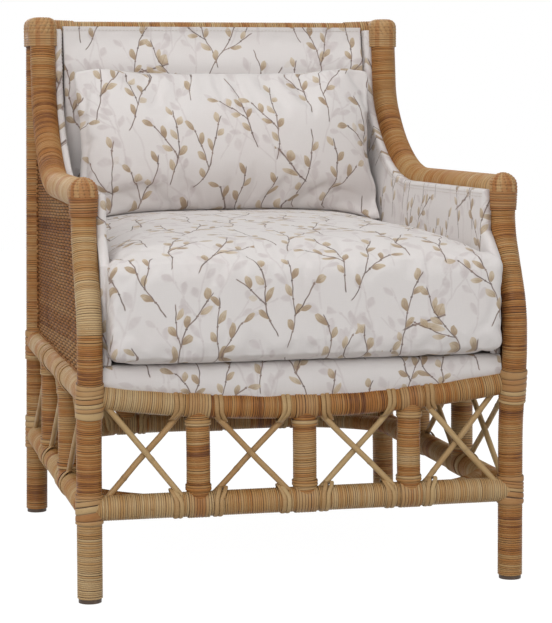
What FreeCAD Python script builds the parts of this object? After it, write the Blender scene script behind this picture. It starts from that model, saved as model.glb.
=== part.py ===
import FreeCAD, Part
import math
import os

from FreeCAD import Vector

# Wound pole armchair in millimetres: X across, front towards -Y, floor at zero

# Overall layout
front_spacing = 652.0
back_spacing_step = 3.0
post_depth = 701.0
post_dia = 38.0
seat_rail_height = 308.0
arm_rise = 290.0
back_rise = 282.0
stretcher_height = 139.0
back_stretcher_rise = 14.0
half_share = 0.5

# Posts
front_lean = 3.9
back_lean = 12.7
glide_height = 6.0
glide_inset = 2.0
post_bow = 18.0
bow_start_drop = 68.0
bow_low_rise = 37.0
bow_high_rise = 112.0
setback_drop = 62.0
post_top_rise = 8.0
arm_setback = 38.0
bow_bend_share = 0.25
neck_bend_share = 0.46
shoulder_bend_share = 0.42

# Arm rails
arm_dia = 44.0
swoop_radius = 275.0
swoop_angle = 55.0
upper_radius = 110.0
upper_angle = 29.0
arm_tip_gap = 45.5
arm_inset = 5.3
pole_top_drop = 20.0

# Top rail, seat rails and stretchers
top_rail_dia = 36.0
top_rail_drop = 23.0
rail_dia = 38.0
rail_sag = 27.0
collar_length = 46.0
collar_wall = 4.0

# Corner braces of the lower ring
brace_dia = 28.0
brace_reach = 138.0
brace_bulge = 24.0

# Apron of stiles and crossed canes
stile_dia = 36.0
front_bays = 4
side_bays = 3
cane_dia = 9.0
cane_end_gap = 12.0
cane_sink = 9.0

# Lashings and caps
lashing_wall = 2.6
lashing_length = 52.0
lashing_drop = 6.0
stretcher_lashing_length = 44.0
strap_wall = 1.8
strap_width = 33.0
strap_gap = 0.1
turn_wall = 1.8
turn_length = 11.0
cap_wall = 3.4
cap_length = 58.0
cap_rise = 18.0
back_cap_length = 50.0
back_cap_round = 15.0

# Woven panels
panel_thickness = 4.0
panel_inset = 10.5

# Fixed upholstery
flange_thickness = 4.0
flange_width = 15.0
pad_depth = 10.0
pad_slope = 6.0
pad_front_gap = 8.0
pad_corner_drop = 102.0
back_pad_depth = 34.0
back_pad_drop = 15.0
deck_rise = 42.0
deck_thickness = 30.0
border_reach = 12.0
border_thickness = 22.0
soft_gap = 0.4

# Seat slats
slat_count = 3
slat_width = 60.0
slat_thickness = 12.0

# Loose seat cushion
cushion_overhang = 50.0
cushion_ear_gap = 8.0
cushion_ear_length = 44.0
cushion_ear_run = 22.0
cushion_side_gap = 3.0
cushion_side = 148.0
cushion_crown = 42.0
cushion_edge = 24.0
cushion_nose = 30.0
cushion_pinch = 4.0
cushion_brow = 46.0
brow_share = 0.72
ear_crown_share = 0.42
nose_shares = ((0.0, 1.0, 0.06), (0.3, 0.36, 0.16), (1.0, 0.0, 0.3))
body_shares = ((0.0, 0.6), (0.25, 0.9), (0.6, 1.0), (0.95, 0.95))
cushion_back_gap = 2.0

# Lumbar pillow
pillow_side_gap = 3.0
pillow_height = 260.0
pillow_thickness = 150.0
pillow_edge = 14.0
pillow_drawn = 8.0
pillow_tilt = 9.0
settle_count = 5
fullness_shares = ((-1.0, 0.16), (-0.8, 0.62), (-0.4, 0.95), (0.0, 1.0), (0.4, 0.95), (0.8, 0.62),
                   (1.0, 0.16))

# Heights that follow from the steps above
back_spacing = front_spacing - back_spacing_step
arm_height = seat_rail_height + arm_rise
overall_height = arm_height + back_rise
back_stretcher_height = stretcher_height + back_stretcher_rise
front_post_height = arm_height + post_top_rise
top_rail_height = overall_height - top_rail_drop
deck_top = seat_rail_height + deck_rise

# The origin is under the middle of the outer box
back_reach = post_dia / 2 + cap_wall
front_y = cushion_overhang - (cushion_overhang + post_depth + back_reach) / 2
back_y = front_y + post_depth
up = Vector(0, 0, 1)
outward = Vector(1, 0, 0)
rearward = Vector(0, 1, 0)


def mirrored(shape):
    """The same piece on the other side of the chair."""
    return shape.mirror(Vector(), outward)


def pole_between(start, end, diameter):
    """Straight pole from one point to another."""
    run = end - start
    return Part.makeCylinder(diameter / 2, run.Length, start, run)


def pole_along(edges, start, heading, diameter):
    """Round pole swept along tangent lines and arcs."""
    circle = Part.Wire(Part.makeCircle(diameter / 2, start, heading))
    return Part.Wire(edges).makePipeShell([circle], True, False)


def rounded_path(points, shares):
    """Straight runs whose corners are rounded by tangent arcs, each with a share of its shorter run."""
    edges = []
    last = points[0]
    for index, share in enumerate(shares, 1):
        corner = points[index]
        before = points[index - 1] - corner
        after = points[index + 1] - corner
        reach = share * min(before.Length, after.Length)
        half_turn = (math.pi - before.getAngle(after)) / 2
        enter = corner + before.normalize() * reach
        leave = corner + after.normalize() * reach
        radius = reach / math.tan(half_turn)
        inward = (before + after).normalize()
        middle = corner + inward * (radius / math.cos(half_turn) - radius)
        edges.append(Part.makeLine(last, enter))
        edges.append(Part.Arc(enter, middle, leave).toShape())
        last = leave
    edges.append(Part.makeLine(last, points[-1]))
    return edges


def main_solid(shape, neighbours):
    """What is left of a piece once its neighbours have taken their space."""
    near = [other for other in neighbours if other.BoundBox.intersect(shape.BoundBox)]
    rest = shape.cut(near) if near else shape
    return max(rest.Solids, key=lambda solid: solid.Volume)


def front_axis(height):
    """Point on the straight line of the right front post."""
    return Vector(front_spacing / 2 - front_lean * height / overall_height, front_y, height)


def back_axis(height):
    """Point on the axis of the right back post."""
    return Vector(back_spacing / 2 - back_lean * height / overall_height, back_y, height)


def between(start, end, share):
    """Point at a share of the way from one point to another."""
    return start + (end - start) * share


def across(point):
    """The same point on the other side of the chair."""
    return Vector(-point.x, point.y, point.z)


def level_foot(pole):
    """A post whose foot is cut level above its glide."""
    box = pole.BoundBox
    below = Part.makeBox(box.XLength, box.YLength, glide_height - box.ZMin, Vector(box.XMin, box.YMin, box.ZMin))
    return main_solid(pole, [below])


def front_post(diameter):
    """Leg, forward bow at seat height, and the part set back under the arm."""
    levels = ((0.0, 0.0), (seat_rail_height - bow_start_drop, 0.0),
              (seat_rail_height + bow_low_rise, -post_bow),
              (seat_rail_height + bow_high_rise, -post_bow),
              (arm_height - setback_drop, arm_setback), (front_post_height, arm_setback))
    points = [front_axis(height) + rearward * offset for height, offset in levels]
    shares = (bow_bend_share, bow_bend_share, neck_bend_share, shoulder_bend_share)
    pole = pole_along(rounded_path(points, shares), points[0], points[1] - points[0], diameter)
    return level_foot(pole)


def back_post(diameter):
    """Straight pole from the floor to the cap."""
    return level_foot(pole_between(back_axis(0), back_axis(overall_height - pole_top_drop), diameter))


def arm_start():
    """Front end of the right arm rail's centre line."""
    return front_axis(arm_height) + rearward * arm_setback


def arm_along():
    """Level direction of the arm rail, from the front post towards the back post's top."""
    top = back_axis(overall_height) - outward * arm_inset
    start = arm_start()
    return Vector(top.x - start.x, top.y - start.y, 0).normalize()


def arm_edges(inward=0.0, inset=0.0):
    """Centre line of the arm rail: a level run, a wide swoop, a tighter bend and a last straight.

    The line can be moved inward across the chair, or inset below and behind the pole.
    """
    along = arm_along()
    start = arm_start() + up.cross(along) * inward
    bend = math.radians(swoop_angle)
    steep = math.radians(swoop_angle + upper_angle)
    step = swoop_radius - upper_radius
    centre_rise = swoop_radius - step * math.cos(bend)
    tip_rise = overall_height - pole_top_drop - arm_height
    tip_run = (tip_rise - centre_rise + upper_radius * math.cos(steep)) / math.tan(steep)
    bends_run = step * math.sin(bend) + upper_radius * math.sin(steep) + tip_run
    level_run = (post_depth - arm_setback - arm_tip_gap) / along.y - bends_run

    def place(run, rise):
        return start + along * run + up * rise

    def on_arc(run, rise, radius, angle):
        return place(run + radius * math.sin(angle), rise - radius * math.cos(angle))

    low_arc = (level_run, swoop_radius, swoop_radius + inset)
    high_arc = (level_run + step * math.sin(bend), centre_rise, upper_radius + inset)
    level_end = place(level_run, -inset)
    low_end = on_arc(*low_arc, bend)
    high_end = on_arc(*high_arc, steep)
    heading = along * math.cos(steep) + up * math.sin(steep)
    tip = high_end + heading * ((overall_height - pole_top_drop - inset - high_end.z) / heading.z)
    return [Part.makeLine(place(inset, -inset), level_end),
            Part.Arc(level_end, on_arc(*low_arc, bend * half_share), low_end).toShape(),
            Part.Arc(low_end, on_arc(*high_arc, (bend + steep) * half_share), high_end).toShape(),
            Part.makeLine(high_end, tip)]


def arm_rail():
    """Swooping arm pole, before the posts and caps take their space."""
    return pole_along(arm_edges(), arm_start(), arm_along(), arm_dia)


def arm_tip():
    """Upper end of the arm rail's centre line."""
    return arm_edges()[-1].valueAt(arm_edges()[-1].LastParameter)


def sag_radius():
    """Radius of the front seat rail's arc."""
    half = front_spacing / 2
    return (half ** 2 + rail_sag ** 2) / (2 * rail_sag)


def sag_height(x):
    """Height of the front seat rail's centre line."""
    radius = sag_radius()
    return seat_rail_height - rail_sag + radius - math.sqrt(radius ** 2 - x ** 2)


def sag_pole(left, right, diameter):
    """Stretch of pole along the front seat rail's arc."""
    start, middle, end = (Vector(x, front_y, sag_height(x)) for x in (left, (left + right) / 2, right))
    arc = Part.Arc(start, middle, end).toShape()
    return pole_along([arc], start, arc.tangentAt(arc.FirstParameter), diameter)


def corner_brace(post_point, level, side, ahead):
    """Bent pole across one corner of the lower ring, bulging towards the post."""
    start = post_point + ahead * brace_reach
    end = post_point + side * brace_reach
    bulge = (Vector() - ahead - side).normalize() * brace_bulge
    middle = between(start, end, half_share) + bulge
    for point in (start, end, middle):
        point.z = level
    arc = Part.Arc(start, middle, end).toShape()
    return pole_along([arc], start, arc.tangentAt(arc.FirstParameter), brace_dia)


def front_cap(post):
    """Domed woven cap on the right front post."""
    top = front_axis(front_post_height) + rearward * arm_setback
    radius = post_dia / 2 + cap_wall
    rim = cap_length - cap_rise
    dome = (radius ** 2 + cap_rise ** 2) / (2 * cap_rise)
    turn = math.acos((dome - cap_rise) / dome) / 2
    crest = Vector(0, 0, cap_length)
    brow = crest + Vector(dome * math.sin(turn), 0, dome * (math.cos(turn) - 1))
    profile = Part.Wire([
        Part.makeLine(Vector(), Vector(radius, 0, 0)),
        Part.makeLine(Vector(radius, 0, 0), Vector(radius, 0, rim)),
        Part.Arc(Vector(radius, 0, rim), brow, crest).toShape(),
        Part.makeLine(crest, Vector())])
    cap = Part.Face(profile).revolve(Vector(), up, 360)
    cap.translate(Vector(top.x, top.y, front_post_height + cap_rise - cap_length))
    return main_solid(cap, [post])


def back_cap():
    """Woven cap over the back post and the upper end of the arm rail."""
    base = overall_height - back_cap_length
    post = back_axis(base)
    arm = arm_tip()
    arm.z = base
    post_radius = post_dia / 2 + cap_wall
    arm_radius = arm_dia / 2 + cap_wall
    forward = (arm - post).normalize()
    side = up.cross(forward)
    lean = (arm_radius - post_radius) / (arm - post).Length
    flat = math.sqrt(1 - lean ** 2)
    corners = []
    for sign in (1, -1):
        normal = forward * -lean + side * (sign * flat)
        corners.append((post + normal * post_radius, arm + normal * arm_radius))
    outline = Part.Wire([
        Part.makeLine(corners[0][0], corners[0][1]),
        Part.Arc(corners[0][1], arm + forward * arm_radius, corners[1][1]).toShape(),
        Part.makeLine(corners[1][1], corners[1][0]),
        Part.Arc(corners[1][0], post - forward * post_radius, corners[0][0]).toShape()])
    block = Part.Face(outline).extrude(up * back_cap_length)
    rim = [edge for edge in block.Edges if edge.BoundBox.ZMin > overall_height - back_cap_round]
    return block.makeFillet(back_cap_round, rim)


def side_face(edges, low_height, front_line, rear_line):
    """Flat face under an arm line, closed down the back, along the bottom and up the front."""
    start = edges[0].valueAt(edges[0].FirstParameter)
    tip = edges[-1].valueAt(edges[-1].LastParameter)
    loop = list(edges)
    corners = [tip] + rear_line(tip, low_height) + front_line(start, low_height) + [start]
    for first, second in zip(corners[:-1], corners[1:]):
        loop.append(Part.makeLine(first, second))
    return Part.Face(Part.Wire(loop))


def on_arm_plane(point, y, height):
    """Point at a given depth and height in the vertical plane of the arm rail."""
    along = arm_along()
    return Vector(point.x + along.x / along.y * (y - point.y), y, height)


def woven_side_panel(blockers):
    """Woven sheet in the middle of the right side's poles."""
    inward = -panel_inset
    edges = arm_edges()

    def rear(tip, low):
        return [on_arm_plane(tip, back_y, tip.z), on_arm_plane(tip, back_y, low)]

    def front(start, low):
        return [on_arm_plane(start, front_y, low), on_arm_plane(start, front_y, start.z)]

    face = side_face(edges, seat_rail_height, front, rear)
    normal = arm_along().cross(up)
    start = arm_start()
    slab = face.extrude(normal * panel_thickness)
    slab.translate(normal * (-panel_thickness / 2))
    turn = math.degrees(math.atan2(-inward / 2, post_depth))
    slab.rotate(start, up, -turn)
    return main_solid(slab, blockers)


def pad_rear():
    """Depth of the plane behind the upholstered back, just ahead of the top rail's collars."""
    return back_y - top_rail_dia / 2 - collar_wall


def pad_face(y):
    """Distance from the middle to the right arm pad's inner face at one depth."""
    point = arm_start() + up.cross(arm_along()) * (arm_dia / 2 + flange_thickness + pad_depth)
    return on_arm_plane(point, y, point.z).x


def arm_pad(blockers):
    """Padded panel on the inner side of the arm, with a flat stitched flange round it."""
    inward = up.cross(arm_along())
    pad_back = pad_rear()

    def outline(inset):
        def rear(tip, low):
            return [on_arm_plane(tip, pad_back, tip.z), on_arm_plane(tip, pad_back, low)]

        def front(start, low):
            edge = front_y + pad_front_gap + inset
            return [on_arm_plane(start, edge, low), on_arm_plane(start, edge, arm_height - pad_corner_drop),
                    on_arm_plane(start, start.y, arm_height - setback_drop)]

        return side_face(arm_edges(arm_dia / 2, inset), deck_top, front, rear)

    flange = outline(0).extrude(inward * flange_thickness)
    raised = outline(flange_width).extrude(inward * (flange_thickness + pad_depth))
    return main_solid(flange.fuse(raised), blockers)


def deck(blockers):
    """Upholstered platform whose front border follows the sagging rail."""
    half = front_axis(deck_top).x - post_dia / 2 - soft_gap
    rear = back_y - post_dia / 2 - soft_gap
    front = front_y - border_reach
    platform = Part.makeBox(2 * half, rear - front, deck_thickness, Vector(-half, front, deck_top - deck_thickness))
    low = seat_rail_height - rail_sag
    border = Part.makeBox(2 * half, border_thickness, deck_top - low, Vector(-half, front, low))
    return main_solid(platform.fuse(border).removeSplitter(), blockers)


def back_pad():
    """Padded inner back between the arm pads, with a flat stitched edge along its top."""
    rear = pad_rear()
    half = pad_face(rear)
    front = rear - back_pad_depth
    back_pad_top = overall_height - back_pad_drop
    shoulder = back_pad_top - flange_width
    profile = Part.makePolygon([
        Vector(-half, rear, deck_top), Vector(-half, front, deck_top),
        Vector(-half, front, shoulder - pad_slope), Vector(-half, front + pad_slope, shoulder),
        Vector(-half, rear - flange_thickness, shoulder), Vector(-half, rear - flange_thickness, back_pad_top),
        Vector(-half, rear, back_pad_top), Vector(-half, rear, deck_top)])
    return Part.Face(profile).extrude(outward * (2 * half))


def cushion_section(y, half, low, side_top, crown, edge):
    """Closed outline across the seat cushion at one depth."""
    turn_share = 1 - math.sqrt(half_share)
    fall_share = 0.62
    right = [Vector(half - edge, y, low), Vector(half - edge * turn_share, y, low + edge * turn_share),
             Vector(half, y, low + edge), Vector(half, y, side_top - edge)]
    pinch = Vector(half - cushion_pinch, y, (low + side_top) * half_share)
    brow = Vector(half - cushion_brow, y, side_top + crown * brow_share)
    shoulder = Vector(half - cushion_brow * turn_share, y, between(right[3], brow, fall_share).z)
    left = [across(point) for point in right]
    return Part.Wire([
        Part.makeLine(left[0], right[0]),
        Part.Arc(right[0], right[1], right[2]).toShape(),
        Part.Arc(right[2], pinch, right[3]).toShape(),
        Part.Arc(right[3], shoulder, brow).toShape(),
        Part.Arc(brow, Vector(0, y, side_top + crown), across(brow)).toShape(),
        Part.Arc(across(brow), across(shoulder), left[3]).toShape(),
        Part.Arc(left[3], across(pinch), left[2]).toShape(),
        Part.Arc(left[2], left[1], left[0]).toShape()])


def seat_cushion():
    """Box cushion with a rounded front, a crowned top and drawn-in sides."""
    low = deck_top + soft_gap
    top = low + cushion_side
    front = front_y - cushion_overhang
    rear = pad_rear() - back_pad_depth - cushion_back_gap
    ear_end = front + cushion_ear_length
    body_start = ear_end + cushion_ear_run
    ear_half = front_axis(deck_top).x - post_dia / 2 - cushion_ear_gap
    front_half = pad_face(body_start) - cushion_side_gap
    back_half = pad_face(rear) - cushion_side_gap

    def nose(line, way, half):
        drops = [cushion_nose * drop_share for run_share, drop_share, crown_share in nose_shares]
        return [(line + way * cushion_nose * run_share, half - drop, low + drop * half_share, top - drop,
                 cushion_crown * crown_share)
                for drop, (run_share, drop_share, crown_share) in zip(drops, nose_shares)]

    sections = nose(front, 1, ear_half)
    sections.append((ear_end, ear_half, low, top, cushion_crown * ear_crown_share))
    for run_share, crown_share in body_shares:
        y = body_start + (rear - cushion_nose - body_start) * run_share
        half = front_half + (back_half - front_half) * run_share
        sections.append((y, half, low, top, cushion_crown * crown_share))
    sections += reversed(nose(rear, -1, back_half))
    wires = [cushion_section(*section, cushion_edge) for section in sections]
    return Part.makeLoft(wires, True, True)


def pillow_section(x, half_height, half_thickness):
    """Closed outline across the pillow at one place along its width."""
    edge = pillow_edge / 2
    top_front = Vector(x, -edge, half_height)
    top_rear = Vector(x, edge, half_height)
    low_front = Vector(x, -edge, -half_height)
    low_rear = Vector(x, edge, -half_height)
    return Part.Wire([
        Part.makeLine(top_rear, top_front),
        Part.Arc(top_front, Vector(x, -half_thickness, 0), low_front).toShape(),
        Part.makeLine(low_front, low_rear),
        Part.Arc(low_rear, Vector(x, half_thickness, 0), top_rear).toShape()])


def lumbar_pillow(cushion):
    """Knife-edge pillow leaning on the back, full in the middle, with edges drawn in."""
    half_width = pad_face(pad_rear()) - pillow_side_gap
    wires = []
    for run_share, fullness_share in fullness_shares:
        drawn = pillow_drawn * (1 - run_share ** 2)
        wires.append(pillow_section(half_width * run_share, pillow_height / 2 - drawn,
                                    pillow_thickness / 2 * fullness_share))
    pillow = Part.makeLoft(wires, True, False)
    pillow.rotate(Vector(), outward, -pillow_tilt)
    reach = pillow.optimalBoundingBox().YMax
    above = cushion.BoundBox.ZMax + pillow_height
    pillow.translate(Vector(0, pad_rear() - back_pad_depth - soft_gap - reach, above))
    for _ in range(settle_count):
        drop = pillow.distToShape(cushion)[0] - soft_gap
        pillow.translate(up * -drop)
    return pillow


def post_set(diameter):
    """The four posts by corner."""
    posts = {"front_right": front_post(diameter), "back_right": back_post(diameter)}
    posts["front_left"] = mirrored(posts["front_right"])
    posts["back_left"] = mirrored(posts["back_right"])
    return posts


def joint_bands():
    """The posts' thickened stretches where the seat rails and the stretchers meet them."""
    bands = {}
    for corner, post in post_set(post_dia + 2 * lashing_wall).items():
        rise = back_stretcher_rise if corner.startswith("back") else 0
        box = post.BoundBox
        bands[corner] = []
        for height, length in ((seat_rail_height - lashing_drop, lashing_length),
                               (stretcher_height + rise / 2, stretcher_lashing_length + rise)):
            layer = Part.makeBox(box.XLength, box.YLength, length,
                                 Vector(box.XMin, box.YMin, height - length / 2))
            bands[corner].append(post.common(layer).Solids[0])
    return bands


def rail_set(bands):
    """Seat rails and lower stretchers by name, the front and back ones coped to the side ones."""
    blockers = [band for pair in bands.values() for band in pair]
    half = front_spacing / 2
    front_low = front_axis(stretcher_height)
    back_low = back_axis(back_stretcher_height)
    back_high = back_axis(seat_rail_height)
    sides = {
        "seat_rail": pole_between(front_axis(seat_rail_height), back_high, rail_dia),
        "stretcher": pole_between(front_low, back_axis(stretcher_height), rail_dia)}
    rails = {}
    for name, pole in sides.items():
        rails[name + "_right"] = main_solid(pole, blockers)
        rails[name + "_left"] = mirrored(rails[name + "_right"])
        blockers = blockers + [rails[name + "_right"], rails[name + "_left"]]
    crossing = {
        "seat_rail_front": sag_pole(-half, half, rail_dia),
        "seat_rail_back": pole_between(across(back_high), back_high, rail_dia),
        "stretcher_front": pole_between(across(front_low), front_low, rail_dia),
        "stretcher_back": pole_between(across(back_low), back_low, rail_dia)}
    rails.update({name: main_solid(pole, blockers) for name, pole in crossing.items()})
    return rails


def brace_set():
    """Bent braces in the four corners of the lower ring, cut flat where they meet the stretchers."""
    side_way = (back_axis(stretcher_height) - front_axis(stretcher_height)).normalize()
    back_level = (stretcher_height + back_stretcher_height) / 2
    room_size = 2 * brace_reach
    braces = {}
    for end, axis, level, ahead in (("front", front_axis, stretcher_height, side_way),
                                    ("back", back_axis, back_level, -side_way)):
        post_point = axis(level)
        inner = post_point + (ahead - outward) * (rail_dia / 2)
        corners = [inner, inner + ahead * room_size, inner + (ahead - outward) * room_size,
                   inner - outward * room_size, inner]
        room = Part.Face(Part.makePolygon([point - up * brace_dia for point in corners])).extrude(
            up * (2 * brace_dia))
        brace = corner_brace(post_point, level, -outward, ahead).common(room).Solids[0]
        braces["brace_" + end + "_right"] = brace
        braces["brace_" + end + "_left"] = mirrored(brace)
    return braces


def bay_lines(side):
    """Lower and upper ends of the upright lines between one side's bays."""
    if side == "right":
        low_ends = (front_axis(stretcher_height), back_axis(stretcher_height))
        high_ends = (front_axis(seat_rail_height), back_axis(seat_rail_height))
        count = side_bays
    elif side == "back":
        low_ends = (across(back_axis(back_stretcher_height)), back_axis(back_stretcher_height))
        high_ends = (across(back_axis(seat_rail_height)), back_axis(seat_rail_height))
        count = front_bays
    else:
        low_ends = (across(front_axis(stretcher_height)), front_axis(stretcher_height))
        high_ends = (across(front_axis(seat_rail_height)), front_axis(seat_rail_height))
        count = front_bays
    lows = [between(*low_ends, index / count) for index in range(count + 1)]
    highs = [between(*high_ends, index / count) for index in range(count + 1)]
    if side == "front":
        for point in highs[1:-1]:
            point.z = sag_height(point.x)
    return lows, highs


def side_way(side, height_row):
    """Direction of a side's lower rail (row 0) or straight upper rail (row 1)."""
    row = bay_lines(side)[height_row]
    return (row[-1] - row[0]).normalize()


def upper_rail(side, point):
    """Point on a side's upper rail above or below a point, and the rail's direction there."""
    if side == "front":
        slope = math.asin(point.x / sag_radius())
        return Vector(point.x, front_y, sag_height(point.x)), Vector(math.cos(slope), 0, math.sin(slope))
    return point, side_way(side, 1)


def rail_crest(way, normal, facing):
    """Direction square to a rail in the plane of its side, above or below the rail."""
    crest = normal.cross(way).normalize()
    return crest if crest.dot(facing) > 0 else -crest


def seat_block(point, way, facing, normal, offset):
    """Block whose flat top touches a rail beside its crest, for cutting a cane's end."""
    tilt = math.asin(offset / (rail_dia / 2))
    touch = rail_crest(way, normal, facing) * math.cos(tilt) + normal * math.sin(tilt)
    disc = Part.Face(Part.Wire(Part.makeCircle(rail_dia, point + touch * (rail_dia / 2), touch)))
    return disc.extrude(touch * -rail_dia)


def crossed_canes(side, index, normal):
    """Two straight canes crossing in one bay, one in front of the other, seated on the rails."""
    lows, highs = bay_lines(side)
    last = len(lows) - 2
    left_gap = (post_dia if index == 0 else stile_dia) / 2 + cane_end_gap
    right_gap = (post_dia if index == last else stile_dia) / 2 + cane_end_gap
    ends = []
    for line in (lows, highs):
        way = (line[index + 1] - line[index]).normalize()
        ends.append((line[index] + way * left_gap, line[index + 1] - way * right_gap))
    canes = []
    for low_end, high_end, layer in ((0, 1, -1), (1, 0, 1)):
        offset = layer * cane_dia / 2
        low = ends[0][low_end]
        high, high_way = upper_rail(side, ends[1][high_end])
        foot = low + up * (rail_dia / 2) + normal * offset
        head = high - up * (rail_dia / 2) + normal * offset
        sink = (head - foot).normalize() * cane_sink
        blocks = [seat_block(low, side_way(side, 0), up, normal, offset),
                  seat_block(high, high_way, -up, normal, offset)]
        canes.append(main_solid(pole_between(foot - sink, head + sink, cane_dia), blocks))
    return canes


def collared_stile(low, high, low_way, high_way):
    """Round stile with binding turns at both ends, seated on the rails."""
    stile_way = (high - low).normalize()
    step = rail_dia / 2 + strap_gap + strap_wall
    turns = stile_way * turn_length
    stile = pole_between(low, high, stile_dia).multiFuse([
        Part.makeCylinder(stile_dia / 2 + turn_wall, turn_length, low + stile_way * step, turns),
        Part.makeCylinder(stile_dia / 2 + turn_wall, turn_length, high - stile_way * step - turns, turns)])
    rails = [pole_between(point - way * stile_dia, point + way * stile_dia, rail_dia)
             for point, way in ((low, low_way), (high, high_way))]
    return main_solid(stile.removeSplitter(), rails)


def strap(centre, way, toward_stile, normal):
    """Band of strands over a rail, open where the stile stands."""
    inner = rail_dia / 2 + strap_gap
    outer = inner + strap_wall
    opening = math.asin((stile_dia / 2 + turn_wall) / outer)
    start = centre - way * (strap_width / 2)

    def place(radius, angle):
        return start + toward_stile * (radius * math.cos(angle)) + normal * (radius * math.sin(angle))

    profile = Part.Wire([
        Part.makeLine(place(inner, opening), place(outer, opening)),
        Part.Arc(place(outer, opening), place(outer, math.pi), place(outer, -opening)).toShape(),
        Part.makeLine(place(outer, -opening), place(inner, -opening)),
        Part.Arc(place(inner, -opening), place(inner, math.pi), place(inner, opening)).toShape()])
    return Part.Face(profile).extrude(way * strap_width)


def apron_side(side, normal):
    """Stiles, crossed canes and their straps under one side of the seat."""
    lows, highs = bay_lines(side)
    low_way = side_way(side, 0)
    parts = {"stiles": [], "canes": [], "stile_straps": []}
    for low, high in zip(lows[1:-1], highs[1:-1]):
        high_way = upper_rail(side, high)[1]
        parts["stiles"].append(collared_stile(low, high, low_way, high_way))
        parts["stile_straps"].append(strap(low, low_way, rail_crest(low_way, normal, up), normal))
        parts["stile_straps"].append(strap(high, high_way, rail_crest(high_way, normal, -up), normal))
    for index in range(len(lows) - 1):
        parts["canes"] += crossed_canes(side, index, normal)
    return parts


def top_rail_collars(rail, cap):
    """Tapered winding where the top rail meets the right back post."""
    end = back_axis(top_rail_height) - outward * (post_dia / 2)
    collar = Part.makeCone(top_rail_dia / 2 + collar_wall, top_rail_dia / 2 + turn_wall, collar_length, end,
                           -outward)
    collar = main_solid(collar, [rail, cap])
    return [collar, mirrored(collar)]


def glides():
    """Round glide under each post."""
    pads = []
    for axis in (front_axis, back_axis):
        pad = Part.makeCylinder(post_dia / 2 - glide_inset, glide_height, axis(0), up)
        pads += [pad, mirrored(pad)]
    return pads


def seat_slats(rails):
    """Wooden slats between the side rails, under the deck."""
    slats = []
    top = deck_top - deck_thickness
    half = front_spacing / 2
    for index in range(slat_count):
        centre = front_y + post_depth * (index + 1) / (slat_count + 1)
        slat = Part.makeBox(2 * half, slat_width, slat_thickness,
                            Vector(-half, centre - slat_width / 2, top - slat_thickness))
        slats.append(main_solid(slat, [rails["seat_rail_right"], rails["seat_rail_left"]]))
    return slats


def woven_back_panel(blockers):
    """Woven sheet between the back posts, from the seat rail to the top rail."""
    low = back_axis(seat_rail_height)
    high = back_axis(top_rail_height)
    outline = Part.makePolygon([across(low), low, high, across(high), across(low)])
    slab = Part.Face(outline).extrude(rearward * panel_thickness)
    slab.translate(rearward * (-panel_thickness / 2))
    return main_solid(slab, blockers)


def build():
    """Every piece of the chair, as a list of solids for each name."""
    posts = post_set(post_dia)
    bands = joint_bands()
    rails = rail_set(bands)
    post_list = list(posts.values())
    cap_front = front_cap(posts["front_right"])
    arm = main_solid(arm_rail(), [posts["back_right"], posts["front_right"], cap_front])
    top_axis = back_axis(top_rail_height)
    top_rail = main_solid(pole_between(across(top_axis), top_axis, top_rail_dia), post_list)
    cap_back = main_solid(back_cap(), [posts["back_right"], arm, top_rail])

    parts = {}
    for corner, post in posts.items():
        front_or_back, hand = corner.split("_")
        parts[front_or_back + "_post_" + hand] = [post]
        parts["post_lashings_" + corner] = [main_solid(band, [post]) for band in bands[corner]]
    parts["arm_rail_right"] = [arm]
    parts["top_rail"] = [top_rail]
    parts.update({name: [rail] for name, rail in rails.items()})
    parts.update({name: [brace] for name, brace in brace_set().items()})
    parts["front_cap_right"] = [cap_front]
    parts["back_cap_right"] = [cap_back]
    parts["top_rail_collars"] = top_rail_collars(top_rail, cap_back)
    parts["glides"] = glides()
    for side, normal in (("front", -rearward), ("back", rearward), ("right", outward)):
        for kind, solids in apron_side(side, normal).items():
            parts[side + "_" + kind] = solids
    for kind in ("stiles", "canes", "stile_straps"):
        parts["left_" + kind] = [mirrored(solid) for solid in parts["right_" + kind]]

    parts["woven_panel_right"] = [woven_side_panel(
        [arm, rails["seat_rail_right"], cap_back, cap_front] + post_list
        + bands["front_right"] + bands["back_right"] + parts["right_stile_straps"])]
    parts["woven_panel_back"] = [woven_back_panel(
        [top_rail, rails["seat_rail_back"], cap_back, mirrored(cap_back)] + post_list
        + parts["top_rail_collars"] + parts["back_stile_straps"] + bands["back_right"]
        + bands["back_left"])]

    parts["seat_slats"] = seat_slats(rails)
    parts["seat_deck"] = [deck(
        [rails["seat_rail_front"], rails["seat_rail_right"], rails["seat_rail_left"]] + post_list
        + parts["front_stile_straps"] + parts["right_stile_straps"] + parts["left_stile_straps"]
        + parts["seat_slats"] + bands["front_right"] + bands["front_left"])]
    parts["arm_pad_right"] = [arm_pad([posts["front_right"], arm, cap_front, cap_back])]
    for name in ("arm_rail", "front_cap", "back_cap", "woven_panel", "arm_pad"):
        parts[name + "_left"] = [mirrored(parts[name + "_right"][0])]
    parts["back_pad"] = [back_pad()]
    cushion = seat_cushion()
    parts["seat_cushion"] = [cushion]
    parts["lumbar_pillow"] = [lumbar_pillow(cushion)]
    return parts


def main():
    """Write each named piece to its own file."""
    os.makedirs("parts", exist_ok=True)
    for name, solids in build().items():
        shape = solids[0] if len(solids) == 1 else Part.makeCompound(solids)
        shape.exportStep(os.path.join("parts", name + ".step"))


if __name__ == "__main__":
    main()
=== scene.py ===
"""Wound pole armchair: every woven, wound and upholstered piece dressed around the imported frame."""

import logging
import math
from dataclasses import dataclass, field
from enum import Enum
from typing import Callable, Optional, Sequence

import bmesh
import bpy
import numpy as np
from mathutils import Matrix, Vector
from mathutils.bvhtree import BVHTree


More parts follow.
